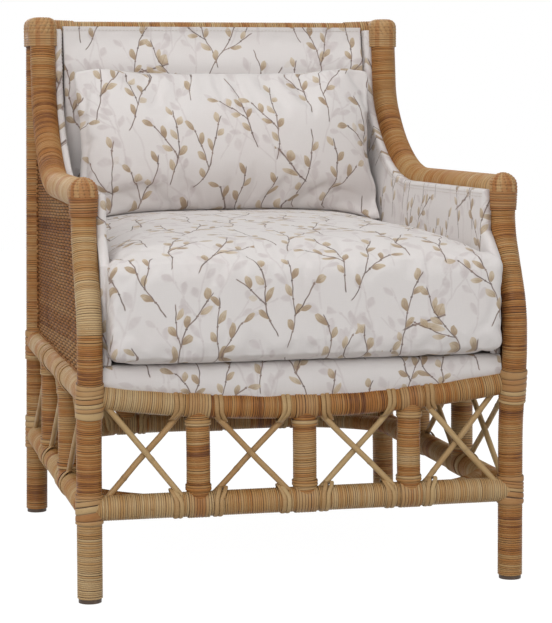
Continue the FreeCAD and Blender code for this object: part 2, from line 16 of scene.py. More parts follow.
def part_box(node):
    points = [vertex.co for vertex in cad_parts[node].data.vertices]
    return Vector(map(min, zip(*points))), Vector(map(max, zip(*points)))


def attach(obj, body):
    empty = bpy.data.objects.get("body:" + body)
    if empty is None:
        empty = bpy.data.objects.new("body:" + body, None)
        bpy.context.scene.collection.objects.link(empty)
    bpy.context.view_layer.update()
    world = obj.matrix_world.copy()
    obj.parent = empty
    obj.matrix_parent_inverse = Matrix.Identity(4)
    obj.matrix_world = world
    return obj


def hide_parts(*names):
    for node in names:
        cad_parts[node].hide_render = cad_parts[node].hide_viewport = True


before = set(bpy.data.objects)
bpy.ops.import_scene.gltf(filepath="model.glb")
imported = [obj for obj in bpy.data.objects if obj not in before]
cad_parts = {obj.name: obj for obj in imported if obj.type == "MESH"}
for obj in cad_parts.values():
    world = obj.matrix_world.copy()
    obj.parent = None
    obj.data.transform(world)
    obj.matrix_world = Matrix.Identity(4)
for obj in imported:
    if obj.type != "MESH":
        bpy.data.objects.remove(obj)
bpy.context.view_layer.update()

Array = np.ndarray
Chance = np.random.Generator
Colour = tuple[float, float, float]
Bands = Sequence[tuple[float, float]]
UP = np.array([0.0, 0.0, 1.0])
OUT = np.array([1.0, 0.0, 0.0])
BACK = np.array([0.0, 1.0, 0.0])
MIRROR = np.array([-1.0, 1.0, 1.0])
TURN = 2 * math.pi
WHITE = (1.0, 1.0, 1.0)
PHOTO_SIZE = (552, 623)

log = logging.getLogger("armchair")


class Hand(Enum):
    """The two sides of the chair, with the sign of their X."""
    RIGHT = 1
    LEFT = -1

    @property
    def word(self) -> str:
        """The side's name as the nodes spell it."""
        return self.name.lower()

    @property
    def mirror(self) -> Array:
        """Factors that take a point of the right side to this side."""
        return np.array([self.value, 1.0, 1.0])


class Side(Enum):
    """The four sides of the apron."""
    FRONT = "front"
    BACK = "back"
    LEFT = "left"
    RIGHT = "right"

    @property
    def facing(self) -> Array:
        """Outward direction of this side."""
        return {Side.FRONT: -BACK, Side.BACK: BACK, Side.LEFT: -OUT, Side.RIGHT: OUT}[self]


def linear(red: int, green: int, blue: int) -> Colour:
    """Turn a display colour, with channels from 0 to 255, into scene light."""
    return tuple((value / 255 / 12.92) if value < 11 else ((value / 255 + 0.055) / 1.055) ** 2.4
                 for value in (red, green, blue))


def unit(vector: Array) -> Array:
    """Give a vector, or each row of an array of them, the length one."""
    return vector / np.linalg.norm(vector, axis=-1, keepdims=True)


def smooth(low: float, high: float, value: Array) -> Array:
    """Ease from 0 to 1 between two values."""
    share = np.clip((value - low) / (high - low), 0, 1)
    return share * share * (3 - 2 * share)


def bell(distance: Array, width: float) -> Array:
    """Bell curve of a distance."""
    return np.exp(-(distance / width) ** 2)


def pair(first: Array, second: Array) -> Array:
    """Join two arrays, stretched to one shape, into pairs."""
    return np.stack(np.broadcast_arrays(first, second), -1)


# ---------------------------------------------------------------- node trees


class Term:
    """A number in a node tree that adds a Math node for each sum written with it."""

    def __init__(self, tree: "NodeTree", socket: object) -> None:
        """Keep the tree that new nodes join and the output socket."""
        self.tree, self.socket = tree, socket

    def do(self, kind: str, *others: object) -> "Term":
        """Add one Math node of this kind with this term as its first value."""
        return self.tree.math(kind, self, *others)

    def __add__(self, other: object) -> "Term":
        """Sum of two terms."""
        return self.do("ADD", other)

    def __sub__(self, other: object) -> "Term":
        """Difference of two terms."""
        return self.do("SUBTRACT", other)

    def __rsub__(self, other: object) -> "Term":
        """A number less this term."""
        return self.tree.math("SUBTRACT", other, self)

    def __mul__(self, other: object) -> "Term":
        """Product of two terms."""
        return self.do("MULTIPLY", other)

    def __truediv__(self, other: object) -> "Term":
        """Quotient of two terms."""
        return self.do("DIVIDE", other)

    __radd__, __rmul__ = __add__, __mul__

    def most(self, other: object) -> "Term":
        """Larger of two terms."""
        return self.do("MAXIMUM", other)

    def size(self) -> "Term":
        """Absolute value."""
        return self.do("ABSOLUTE")

    def ease(self, low: float, high: float, start: float = 0.0, end: float = 1.0) -> "Term":
        """Ease between two values.

        Args:
            low: Where the change starts.
            high: Where the change ends.
            start: The result up to low.
            end: The result from high.

        Returns:
            The eased term.
        """
        made = self.tree.node("ShaderNodeMapRange", {"interpolation_type": "SMOOTHSTEP"})
        for socket, value in zip(made.inputs, (self, low, high, start, end)):
            self.tree.put(socket, value)
        return Term(self.tree, made.outputs[0])


class NodeTree:
    """The node tree of a material or a world, with helpers that add and join nodes."""

    def __init__(self, owner: bpy.types.ID, output: str) -> None:
        """Empty a tree and add its output.

        Args:
            owner: The material or world whose tree it is.
            output: Type of its output node.
        """
        owner.use_nodes = True
        self.nodes, self.links = owner.node_tree.nodes, owner.node_tree.links
        self.nodes.clear()
        self.output = self.nodes.new(output)

    def put(self, socket: object, value: object) -> None:
        """Join or set one input.

        Args:
            socket: The input.
            value: A term, an output, a number or a colour.
        """
        value = value.socket if isinstance(value, Term) else value
        if isinstance(value, bpy.types.NodeSocket):
            self.links.new(value, socket)
        elif isinstance(value, tuple) and len(value) == 3 and socket.type == "RGBA":
            socket.default_value = (*value, 1.0)
        else:
            socket.default_value = value

    def node(self, kind: str, settings: Optional[dict] = None, **values: object) -> bpy.types.Node:
        """Add a node.

        Args:
            kind: The node's type.
            settings: Properties to set on it.
            values: Inputs by name, with underscores for spaces.

        Returns:
            The new node.
        """
        made = self.nodes.new(kind)
        for key, value in (settings or {}).items():
            setattr(made, key, value)
        for key, value in values.items():
            self.put(made.inputs[key.replace("_", " ")], value)
        return made

    def math(self, kind: str, *values: object) -> Term:
        """Add a Math node.

        Args:
            kind: The operation.
            values: Its inputs in order.

        Returns:
            The result.
        """
        made = self.node("ShaderNodeMath", {"operation": kind})
        for socket, value in zip(made.inputs, values):
            self.put(socket, value)
        return Term(self, made.outputs[0])

    def blend(self, share: object, first: object, second: object) -> object:
        """Mix two colours.

        Args:
            share: The second colour's share.
            first: The colour at 0.
            second: The colour at 1.

        Returns:
            The mixed colour.
        """
        made = self.node("ShaderNodeMix", {"data_type": "RGBA"}, Factor=share)
        self.put(made.inputs[6], first)
        self.put(made.inputs[7], second)
        return made.outputs[2]

    def ramp(self, share: object, stops: Sequence[tuple[float, Colour]]) -> object:
        """Add a colour ramp.

        Args:
            share: Where to read it.
            stops: Places and colours.

        Returns:
            The colour.
        """
        made = self.node("ShaderNodeValToRGB", Fac=share)
        marks = made.color_ramp.elements
        while len(marks) < len(stops):
            marks.new(1.0)
        for mark, (place, colour) in zip(marks, stops):
            mark.position, mark.color = place, (*colour, 1.0)
        return made.outputs[0]

    def noise(self, vector: object, scale: float, detail: float = 3.0, rough: float = 0.5) -> Term:
        """Noise around one half at a vector, with its layers and the weight of the fine ones."""
        made = self.node("ShaderNodeTexNoise", Vector=vector, Scale=scale, Detail=detail, Roughness=rough)
        return Term(self, made.outputs["Fac"])

    def place(self) -> object:
        """Position in the piece's own space."""
        return self.node("ShaderNodeTexCoord").outputs["Object"]

    def value(self, name: str) -> Term:
        """Number stored on the mesh under a name."""
        return Term(self, self.node("ShaderNodeAttribute", {"attribute_name": name}).outputs["Fac"])

    def flat(self, name: str) -> object:
        """Coordinates of a named UV map."""
        return self.node("ShaderNodeUVMap", {"uv_map": name}).outputs[0]

    def split(self, vector: object) -> tuple[Term, Term]:
        """First two numbers of a vector."""
        made = self.node("ShaderNodeSeparateXYZ", Vector=vector)
        return Term(self, made.outputs[0]), Term(self, made.outputs[1])

    def join(self, first: object, second: object, third: object = 0.0) -> object:
        """Vector made of three numbers."""
        return self.node("ShaderNodeCombineXYZ", X=first, Y=second, Z=third).outputs[0]


class Surface(NodeTree):
    """A material's node tree around one surface shader."""

    def __init__(self, name: str) -> None:
        """Make the material with its shader.

        Args:
            name: The material's name.
        """
        self.material = bpy.data.materials.new(name)
        super().__init__(self.material, "ShaderNodeOutputMaterial")
        self.shader = self.nodes.new("ShaderNodeBsdfPrincipled")
        self.links.new(self.shader.outputs[0], self.output.inputs["Surface"])

    def bump(self, height: object, depth: float, strength: float = 1.0) -> None:
        """Give the surface a bump from a height map, its depth in metres and how much of it shows."""
        made = self.node("ShaderNodeBump", Height=height, Distance=depth, Strength=strength)
        self.links.new(made.outputs[0], self.shader.inputs["Normal"])

    def finish(self, **values: object) -> bpy.types.Material:
        """Set the surface shader's inputs.

        Args:
            values: Inputs by name, with underscores for spaces.

        Returns:
            The material.
        """
        for key, value in values.items():
            self.put(self.shader.inputs[key.replace("_", " ")], value)
        return self.material


# ---------------------------------------------------------------- finishes


@dataclass(frozen=True)
class Cane:
    """Rattan core in four shades, with painted shade where strands lie against each other."""
    name: str
    slot: str
    shades: tuple[Colour, Colour, Colour, Colour] = (
        linear(190, 162, 120), linear(176, 136, 86), linear(164, 109, 54), linear(114, 68, 32))
    shade_places: tuple[float, float, float, float] = (0.0, 0.4, 0.75, 1.0)
    # gap colour and gap_share: the painted shade that each point's dip lays on grooves, ends and undersides
    gap: Colour = linear(48, 26, 13)
    gap_share: float = 1.0
    shine: float = 0.26
    streak_scale: tuple[float, float] = (34.0, 900.0)
    roughness: float = 0.5

    def material(self) -> bpy.types.Material:
        """Build the finish from strand tones, grain along each strand and painted shade in the gaps.

        Returns:
            The material.
        """
        tree = Surface(self.name)
        around, along = tree.split(tree.flat("strand"))
        grain = tree.noise(tree.join(around * self.streak_scale[0], along * self.streak_scale[1]), 1.0, 4.0, 0.6)
        patch = tree.noise(tree.place(), 13.0, 3.0, 0.6)
        share = tree.value("tone") + (patch - 0.5) * 0.7 + (grain - 0.5) * 0.55
        colour = tree.ramp(share, tuple(zip(self.shade_places, self.shades)))
        fleck = tree.noise(tree.place(), 260.0, 2.0, 0.7).ease(0.62, 0.78)
        colour = tree.blend(fleck * 0.35, colour, self.shades[3])
        # painted shade: blend toward the gap colour by the dip, darkening grooves between strands, pole ends and loop
        # undersides
        colour = tree.blend((tree.value("dip") * self.gap_share).do("MINIMUM", 1.0), colour, self.gap)
        tree.bump(grain, 0.00035, 0.7)
        rough = tree.noise(tree.place(), 60.0).ease(0.3, 0.7, self.roughness - 0.08, self.roughness + 0.12)
        return tree.finish(Base_Color=colour, Roughness=rough, Specular_IOR_Level=self.shine)


@dataclass(frozen=True)
class PrintedLinen:
    """Off-white linen printed with forked leafy twigs over faint, softer ones."""
    name: str
    slot: str
    cell: tuple[float, float] = (0.112, 0.168)
    stem_half: float = 0.40
    fork_share: float = 0.36
    fork_lean: float = 0.62
    spacing: float = 0.0245
    leaf: tuple[float, float] = (0.0112, 0.0050)
    stalk: float = 0.0022
    leaf_lean: float = 0.5
    line: float = 0.0009
    ground: Colour = linear(222, 217, 215)
    cloudy: Colour = linear(218, 210, 208)
    stem: tuple[Colour, Colour] = (linear(92, 72, 64), linear(134, 110, 98))
    bud: tuple[Colour, Colour, Colour] = (linear(208, 192, 170), linear(188, 168, 140), linear(156, 130, 100))
    faint: Colour = linear(200, 190, 189)
    slub: Colour = linear(176, 168, 162)
    thread: float = 0.00115

    def stem_with_leaves(self, tree: NodeTree, across: Term, along: Term, half: float, key: object,
                         soft: float) -> tuple[Term, Term, Term]:
        """Draw a straight stem with alternate leaves.

        Args:
            tree: Where nodes are added.
            across: Place beside the stem.
            along: Place along it from its middle.
            half: Half the stem's length.
            key: Vector of each stem's own chances.
            soft: How far the edges fade.

        Returns:
            Masks of the stem and the leaves, and the shade inside the leaves.
        """
        count = along / self.spacing
        step = count.do("FLOOR")
        near = (count - step - 0.2) * self.spacing
        side = (step * 0.5).do("FRACT") * 4.0 - 1.0
        lucky = tree.node("ShaderNodeTexWhiteNoise", {"noise_dimensions": "4D"}, Vector=key, W=step)
        luck = Term(tree, lucky.outputs["Value"])
        beside = across * side
        ahead = near * math.cos(self.leaf_lean) + beside * math.sin(self.leaf_lean)
        wide = (beside * math.cos(self.leaf_lean) - near * math.sin(self.leaf_lean)).size()
        long, broad = self.leaf
        middle = (ahead - (self.stalk + long)) / (luck * (long * 0.35) + long * 0.75)
        there = luck.ease(0.12, 0.16) * ((step + 0.2) * self.spacing).size().ease(half * 0.97, half, 1.0, 0.0)
        leaf = ((1.0 - middle * middle) * broad - wide).ease(-soft, soft * 1.6) * there
        stem = across.size().ease(self.line - soft * 0.8, self.line + soft * 0.8, 1.0, 0.0)
        stem = stem * along.size().ease(half, half + 0.004, 1.0, 0.0)
        knot = ((near * near + across * across) * 1e6).ease(1.6, 4.5, 1.0, 0.0) * there
        rib = wide.ease(0.0, 0.0007, 0.3, 0.0)
        shade = 0.5 - middle * 0.42 + (luck - 0.5) * 0.7 + (wide / broad) * 0.15 + rib
        return stem.most(knot), leaf, shade

    def sprigs(self, tree: NodeTree, u: Term, v: Term, seed: float, soft: float) -> tuple[Term, Term, Term]:
        """Draw one layer of forked sprigs, one in each cell of a half-drop layout.

        Args:
            tree: Where nodes are added.
            u: Place across the cloth.
            v: Place along the cloth.
            seed: The layer's own number.
            soft: How far the edges fade.

        Returns:
            Masks of the stems and the leaves, and the shade inside the leaves.
        """
        width, height = self.cell
        column = u / width
        index = column.do("FLOOR")
        row = v / height + (index * 0.5).do("FRACT") + index * 0.13
        level = row.do("FLOOR")
        key = tree.join(index, level, seed)
        dice = tree.node("ShaderNodeTexWhiteNoise", {"noise_dimensions": "3D"}, Vector=key)
        parts = tree.node("ShaderNodeSeparateColor", Color=dice.outputs["Color"])
        first, second = Term(tree, parts.outputs[1]), Term(tree, parts.outputs[2])
        x = (column - index - 0.5) * width + (first - 0.5) * (width * 0.22)
        y = (row - level - 0.5) * height
        angle = (Term(tree, dice.outputs["Value"]) - 0.5) * 0.95
        cosine, sine = angle.do("COSINE"), angle.do("SINE")
        along = x * sine + y * cosine
        bend = (along * (TURN / height) + second * TURN).do("SINE") * (width * 0.055)
        across = x * cosine - y * sine - bend
        stem, leaf, shade = self.stem_with_leaves(tree, across, along, height * self.stem_half, key, soft)
        turned = across * first.ease(0.45, 0.55, -1.0, 1.0)
        fork_half = height * self.fork_share / 2
        tip = along + height * 0.12
        ahead = tip * math.cos(self.fork_lean) + turned * math.sin(self.fork_lean) - fork_half
        beside = turned * math.cos(self.fork_lean) - tip * math.sin(self.fork_lean)
        fork = self.stem_with_leaves(tree, beside, ahead, fork_half, tree.join(level, index, seed), soft)
        return stem.most(fork[0]), leaf.most(fork[1]), shade * leaf + fork[2] * fork[1] * (1.0 - leaf)

    def material(self) -> bpy.types.Material:
        """Build the printed cloth: ground, faint layers, main layers, weave and slubs.

        Returns:
            The material.
        """
        tree = Surface(self.name)
        cloth = tree.flat("print")
        u, v = tree.split(cloth)
        drawn_u = u + (tree.noise(cloth, 22.0, 2.0) - 0.5) * 0.014
        drawn_v = v + (tree.noise(tree.join(v, u), 22.0, 2.0) - 0.5) * 0.014
        wash = tree.noise(cloth, 75.0, 3.0, 0.6)
        cloud = tree.noise(cloth, 11.0, 2.0).ease(0.48, 0.72)
        colour = tree.blend(cloud * 0.4, self.ground, self.cloudy)
        for shift, size, seed, share in ((0.031, 1.4, 5.0, 0.6), (0.087, 1.15, 7.0, 0.75), (0.013, 1.0, 9.0, 0.65)):
            stems, leaf = self.sprigs(tree, (drawn_u + shift) / size, (drawn_v + shift * 1.7) / size, seed,
                                      0.0016)[:2]
            colour = tree.blend(leaf.most(stems * 0.8) * share * wash.ease(0.25, 0.6, 0.5, 1.0), colour, self.faint)
        for shift, seed in ((0.0, 1.0), (0.057, 2.0)):
            stems, leaf, shade = self.sprigs(tree, drawn_u + shift, drawn_v + shift * 1.4, seed, 0.0006)
            bud = tree.ramp(shade + (wash - 0.5) * 1.2, tuple(zip((0.1, 0.55, 1.0), self.bud)))
            colour = tree.blend(leaf * 0.9, colour, bud)
            colour = tree.blend(stems * 0.88, colour, tree.blend(wash.ease(0.35, 0.65), *self.stem))
        warp, weft = ((way * (TURN / self.thread)).do("SINE") for way in (u, v))
        slubs = (tree.noise(tree.join(u * across, v * along), 1.0, 2.0)
                 for across, along in ((60.0, 900.0), (900.0, 60.0)))
        weave = warp * weft * 0.5 + next(slubs) * 0.8 + next(slubs) * 0.8
        colour = tree.blend(weave.ease(0.5, 1.3, 0.0, 0.12), colour, self.slub)
        tree.bump(weave, 0.00022, 0.55)
        return tree.finish(Base_Color=colour, Roughness=0.88, Specular_IOR_Level=0.2, Sheen_Weight=0.2,
                           Sheen_Roughness=0.45)


@dataclass(frozen=True)
class Mottled:
    """Plain finish between two shades: the thread, the dust cloth and the scuffed glides."""
    name: str
    slot: str
    shades: tuple[Colour, Colour]
    grain: tuple[float, float]
    bump: tuple[float, float]
    roughness: float
    scuffed: bool = False

    def material(self) -> bpy.types.Material:
        """Build the finish with a fine grain, and scuffs where it has them.

        Returns:
            The material.
        """
        tree = Surface(self.name)
        share = grain = tree.noise(tree.place(), *self.grain)
        if self.scuffed:
            share = tree.noise(tree.place(), 70.0, 4.0, 0.7).ease(0.5, 0.75)
        tree.bump(grain, *self.bump)
        return tree.finish(Base_Color=tree.blend(share, *self.shades), Roughness=self.roughness)


@dataclass(frozen=True)
class PlainWood:
    """Sawn softwood of the slats."""
    name: str
    slot: str

    def material(self) -> bpy.types.Material:
        """Build the wood with long grain and a few darker rings.

        Returns:
            The material.
        """
        tree = Surface(self.name)
        stretched = tree.node("ShaderNodeMapping", Vector=tree.place(), Scale=(3.0, 40.0, 40.0)).outputs[0]
        grain = tree.noise(stretched, 2.0, 6.0, 0.6)
        ring = tree.node("ShaderNodeTexWave", {"bands_direction": "Y"}, Vector=stretched, Scale=0.9,
                         Distortion=5.0, Detail=3.0)
        share = grain * 0.6 + Term(tree, ring.outputs["Fac"]) * 0.4
        colour = tree.ramp(share, ((0.2, linear(166, 128, 84)), (0.8, linear(206, 172, 124))))
        tree.bump(grain, 0.0005, 0.6)
        return tree.finish(Base_Color=colour, Roughness=0.7)


@dataclass
class Wardrobe:
    """Every finish of the chair, each made once."""
    wound: Cane = Cane("wound_rattan_cane", "wound_rattan")
    lashing: Cane = Cane("lashing_cane", "rattan_lashing", shades=(
        linear(186, 156, 112), linear(172, 130, 84), linear(156, 104, 58), linear(112, 68, 36)))
    # bare cane: painted shade at 0.4 strength on loop undersides, and the same channel darkens the nodes
    bare: Cane = Cane("bare_cane_finish", "bare_cane", gap_share=0.4, streak_scale=(700.0, 22.0), shades=(
        linear(186, 158, 114), linear(174, 140, 96), linear(160, 120, 76), linear(130, 90, 54)))
    # woven cane: its dark gap colour is painted shade between weavers and on the backing sheet
    woven: Cane = Cane(
        "woven_cane_finish", "woven_rattan", gap=linear(36, 20, 11), gap_share=0.97, shine=0.08, roughness=0.7,
        streak_scale=(30.0, 500.0), shades=(
            linear(180, 137, 92), linear(164, 115, 71), linear(144, 94, 54), linear(110, 68, 38)))
    linen: PrintedLinen = PrintedLinen("printed_linen", "upholstery_fabric")
    seat_linen: PrintedLinen = PrintedLinen("printed_linen_seat", "cushion_fabric")
    pillow_linen: PrintedLinen = PrintedLinen("printed_linen_pillow", "pillow_fabric")
    thread: Mottled = Mottled("seam_thread", "upholstery_fabric", (linear(214, 206, 200), linear(196, 186, 178)),
                              (400.0, 3.0), (0.0002, 0.5), 0.8)
    wood: PlainWood = PlainWood("slat_softwood", "slat_wood")
    foot: Mottled = Mottled("moulded_foot", "glide_plastic", (linear(72, 56, 44), linear(104, 86, 70)),
                            (900.0, 2.0), (0.0002, 0.5), 0.55, scuffed=True)
    dust: Mottled = Mottled("dust_cloth", "upholstery_fabric", (linear(64, 56, 50), linear(96, 86, 78)),
                            (600.0, 3.0), (0.0003, 0.6), 0.95)
    made: dict = field(default_factory=dict)

    def dress(self, piece: bpy.types.Object, *finishes: object) -> None:
        """Give a piece its finishes.

        Args:
            piece: The piece to dress.
            finishes: Its finishes, main one first.
        """
        piece.data.materials.clear()
        for finish in finishes:
            if finish.name not in self.made:
                self.made[finish.name] = finish.material()
            piece.data.materials.append(self.made[finish.name])


# ---------------------------------------------------------------- mesh drafting


def circle(sides: int) -> Array:
    """Even angles round a circle."""
    return np.arange(sides) / sides * TURN


def tube(path: Array, first: Array, second: Array, radii: object, angles: Array, flat: float = 1.0) -> Array:
    """Lay rings of points round a path.

    Args:
        path: Centre of each ring.
        first: Direction of each ring's first point.
        second: Direction a quarter turn on.
        radii: Radius of each ring, or one for all.
        angles: Places of the points on a ring.
        flat: Size along second over size along first.

    Returns:
        Rings by points by three.
    """
    size = np.reshape(radii, (-1, 1))
    return (path[:, None] + first[:, None] * (size * np.cos(angles))[..., None]
            + second[:, None] * (size * flat * np.sin(angles))[..., None])


def runs_along(path: Array) -> Array:
    """Distance of each point of a path from its start."""
    return np.concatenate([[0.0], np.cumsum(np.linalg.norm(np.diff(path, axis=0), axis=1))])


def path_length(path: Array) -> float:
    """Length of a path in metres."""
    return float(runs_along(path)[-1])


def along_path(path: Array, places: Array) -> tuple[Array, Array]:
    """Find points and directions along a path.

    Args:
        path: Points of the path.
        places: Distances from its start.

    Returns:
        The points and the unit directions there.
    """
    runs = runs_along(path)
    inside = np.clip(places, 0, runs[-1])
    points, ways = (np.stack([np.interp(inside, runs, row) for row in rows.T], -1)
                    for rows in (path, unit(np.gradient(path, runs, axis=0))))
    ways = unit(ways)
    return points + ways * (places - inside)[:, None], ways


def between(start: Array, end: Array, count: int = 60) -> Array:
    """Points on a straight line."""
    return start + (end - start) * np.linspace(0, 1, count)[:, None]


def wander(rng: Chance, places: Array, span: float) -> Array:
    """Change slowly and at random between -1 and 1.

    Args:
        rng: Chance.
        places: Distances where it is read.
        span: Distance over which it changes.

    Returns:
        The values at the places.
    """
    count = int(max(places.max() - places.min(), span) / span) + 3
    knots = rng.uniform(-1, 1, count)
    return np.interp((places - places.min()) / span, np.arange(count), knots)


def put_in_scene(name: str, data: object) -> bpy.types.Object:
    """Make an object of a mesh, a light or a camera, and link it.

    Args:
        name: The object's name.
        data: What it shows.

    Returns:
        The object.
    """
    piece = bpy.data.objects.new(name, data)
    bpy.context.scene.collection.objects.link(piece)
    return piece


class Draft:
    """Grows points, faces, strand coordinates, tones and dips into one mesh, by its own chance."""

    def __init__(self, seed: object) -> None:
        """Start with nothing.

        Args:
            seed: Seed or source of chance.
        """
        self.rng = np.random.default_rng(seed)
        self.count = 0
        self.points, self.tones, self.dips, self.faces, self.flats = [], [], [], [], []

    def add(self, points: Array, faces: Array, flats: Array, tone: object, dip: object) -> None:
        """Add points and faces of one kind.

        Args:
            points: Points, one a row.
            faces: Rows of point numbers.
            flats: Strand coordinates of each face's corners.
            tone: Tone of each point.
            dip: Its depth between strands, which the cane finishes turn into painted shade.
        """
        count = len(points)
        self.points.append(points)
        self.tones.append(np.broadcast_to(tone, (count,)))
        self.dips.append(np.broadcast_to(dip, (count,)))
        self.faces.append(faces + self.count)
        self.flats.append(flats.reshape(-1, 2))
        self.count += count

    def grid(self, points: Array, flats: Array, tone: object, dip: object, keep: Optional[Array] = None,
             closed: bool = False, flip: bool = False) -> None:
        """Add a grid of rows and columns.

        Args:
            points: Rows by columns by three.
            flats: Rows by columns by two, one column more if closed.
            tone: Tones, stretched to rows by columns.
            dip: Dips, stretched to rows by columns.
            keep: Which cells are kept.
            closed: Whether the last column joins the first.
            flip: Whether its faces turn round.
        """
        rows, columns = points.shape[:2]
        row, column = np.meshgrid(np.arange(rows - 1), np.arange(columns if closed else columns - 1),
                                  indexing="ij")
        after = (column + 1) % columns
        corners = [(row, column, column), (row, after, column + 1), (row + 1, after, column + 1),
                   (row + 1, column, column)]
        if flip:
            corners.reverse()
        faces = np.stack([r * columns + c for r, c, _ in corners], -1)
        uvs = np.stack([flats[r, f] for r, _, f in corners], -2)
        if keep is not None:
            faces, uvs = faces[keep], uvs[keep]
        tones, dips = (np.broadcast_to(part, (rows, columns)).ravel() for part in (tone, dip))
        self.add(points.reshape(-1, 3), faces.reshape(-1, 4), uvs, tones, dips)

    def lid(self, ring: Array, centre: Array, tone: float, dip: float, flip: bool) -> None:
        """Close a ring with a fan of faces.

        Args:
            ring: Points of the ring.
            centre: The fan's middle.
            tone: Its tone.
            dip: Its depth between strands, which the cane finishes turn into painted shade.
            flip: Whether its faces turn round.
        """
        count = len(ring)
        fan = np.stack([np.arange(count), (np.arange(count) + 1) % count, np.full(count, count)], -1)
        self.add(np.vstack([ring, centre]), fan[:, ::-1] if flip else fan, np.zeros((count * 3, 2)), tone, dip)

    def strand(self, path: Array, radius: float, flat: float, facing: Array, tone: float, sides: int = 8) -> None:
        """Add one bare strand of flattened section.

        Args:
            path: Its centre line.
            radius: Half its width.
            flat: Thickness over width.
            facing: Outward direction, or one a point.
            tone: Its tone.
            sides: Corners of its section.
        """
        heading = unit(np.gradient(path, axis=0))
        outward = unit(facing - heading * (facing * heading).sum(1)[:, None])
        angles = circle(sides)
        rim = tube(path, np.cross(heading, outward), outward, radius, angles, flat)
        around = np.arange(sides + 1) / sides * TURN * radius
        flats = pair(runs_along(path)[:, None], around + self.rng.random())
        # painted shade: dip 0.9 on the face turned in against what the strand wraps, 0.1 outside; the ends get 0.5
        self.grid(rim, flats, tone + self.rng.uniform(-0.1, 0.1), np.where(np.sin(angles) < -0.2, 0.9, 0.1),
                  closed=True)
        for end in (0, -1):
            self.lid(rim[end], rim[end].mean(0), tone, 0.5, end == 0)

    def make(self, name: str) -> bpy.types.Object:
        """Turn what has grown, less its loose points, into an object.

        Args:
            name: The piece's name.

        Returns:
            The new object, smooth shaded.
        """
        mesh = bpy.data.meshes.new(name)
        corners = np.concatenate([part.ravel() for part in self.faces])
        used, corners = np.unique(corners, return_inverse=True)
        points, tones, dips = (np.concatenate(part)[used] for part in (self.points, self.tones, self.dips))
        sizes = np.concatenate([np.full(len(part), part.shape[1]) for part in self.faces])
        for items, count, values in (
                (mesh.vertices, len(points), {"co": points.ravel()}),
                (mesh.loops, len(corners), {"vertex_index": corners.ravel()}),
                (mesh.polygons, len(sizes), {"loop_start": np.cumsum(sizes) - sizes, "loop_total": sizes,
                                             "use_smooth": np.ones(len(sizes), bool)})):
            items.add(count)
            for key, value in values.items():
                items.foreach_set(key, value)
        mesh.uv_layers.new(name="strand").data.foreach_set("uv", np.concatenate(self.flats).ravel())
        # the dip attribute carries the painted shade that the cane finishes read
        for key, values in (("tone", tones), ("dip", dips)):
            mesh.attributes.new(key, "FLOAT", "POINT").data.foreach_set("value", values)
        mesh.update(calc_edges=True)
        mesh.validate()
        return put_in_scene(name, mesh)


@dataclass(frozen=True)
class Winding:
    """How a pole is wound: strand width, depth and painted shade of the gaps, slant and the spread of tones."""
    strand: float = 0.0031
    depth: float = 0.0008
    slant: float = 0.05
    sides: int = 20
    tone: tuple[float, float] = (0.1, 0.8)
    run: tuple[float, float] = (0.004, 0.045)
    uneven: float = 0.34
    fleck: float = 0.2
    gap_chance: float = 0.22
    # dips of the grooves: painted shade strength in the cane finish, and above 1.2 also a deeper groove
    gap_depths: tuple[float, float] = (1.9, 0.85)
    dome: float = 0.08
    profile: Bands = ((0.0, 1.0), (0.17, 0.28), (0.5, 0.0), (0.83, 0.28))

    def wrap(self, draft: Draft, path: Array, radius: object, side: Array, start: float = 0.0,
             end: Optional[float] = None, bands: Bands = ()) -> None:
        """Wind strands round a path and close the ends.

        Args:
            draft: Where it is added.
            path: The pole's centre line.
            radius: Outer radius, or one an end.
            side: A direction across the path.
            start: Where the winding starts.
            end: Where it ends.
            bands: Places along the path and known tones there.
        """
        rng = draft.rng
        end = path_length(path) if end is None else end
        count = max(2, round((end - start) / self.strand))
        widths = 1 + self.uneven * rng.uniform(-1, 1, count)
        edges = start + np.concatenate([[0.0], np.cumsum(widths)]) / widths.sum() * (end - start)
        tones = np.empty(count)
        at = 0
        while at < count:
            step = max(1, int(rng.uniform(*self.run) / self.strand))
            tones[at:at + step] = rng.uniform(*self.tone)
            at += step
        if bands:
            tones = np.interp(edges[:-1], *zip(*bands)) + (tones - np.mean(self.tone)) * 0.3
        tones = tones + rng.uniform(-self.fleck, self.fleck, count)
        # painted shade in the grooves between strands: most get 0.85, a random share 1.9 (also sunk deeper); shoulders
        # get a little
        gaps = np.where(rng.random(count + 1) < self.gap_chance, *self.gap_depths) * rng.uniform(0.75, 1.1, count + 1)
        shares, drops = np.array(self.profile).T
        places = np.append((edges[:-1, None] + shares * np.diff(edges)[:, None]).ravel(), edges[-1])
        dips = np.append(np.where(drops == 1.0, gaps[:-1, None], drops * 0.35).ravel(), 1.0)
        shades = np.append(np.repeat(tones, len(drops)), tones[-1])[:, None]
        if np.ndim(radius):
            radius = np.interp(places, (start, end), radius)
        radii = radius - self.depth * np.append(np.tile(drops, count), 1.0) * np.where(dips > 1.2, 1.5, 1.0)
        points, ways = along_path(path, places)
        first = unit(side - ways * (ways @ side)[:, None])
        lean = self.slant * (0.35 + wander(rng, places, 0.12))
        turn = wander(rng, places, 0.2) * math.pi
        fade = np.minimum(smooth(0, 0.012, places - start), smooth(0, 0.012, end - places))
        shift = (lean * fade * radii)[:, None] * np.sin(circle(self.sides) + turn[:, None])
        rim = tube(points, first, np.cross(ways, first), radii, circle(self.sides))
        rim = rim + ways[:, None] * shift[..., None]
        around = np.arange(self.sides + 1) / self.sides * TURN * float(np.mean(radii))
        draft.grid(rim, pair(around + rng.random() * 3, places[:, None]), shades, dips[:, None], closed=True)
        # the lids that close the ends get a painted shade of 0.8
        for ring, way in ((0, -ways[0]), (-1, ways[-1])):
            draft.lid(rim[ring], rim[ring].mean(0) + way * radii[ring] * self.dome, shades[ring, 0], 0.8, ring == 0)


# ---------------------------------------------------------------- the chair's lines


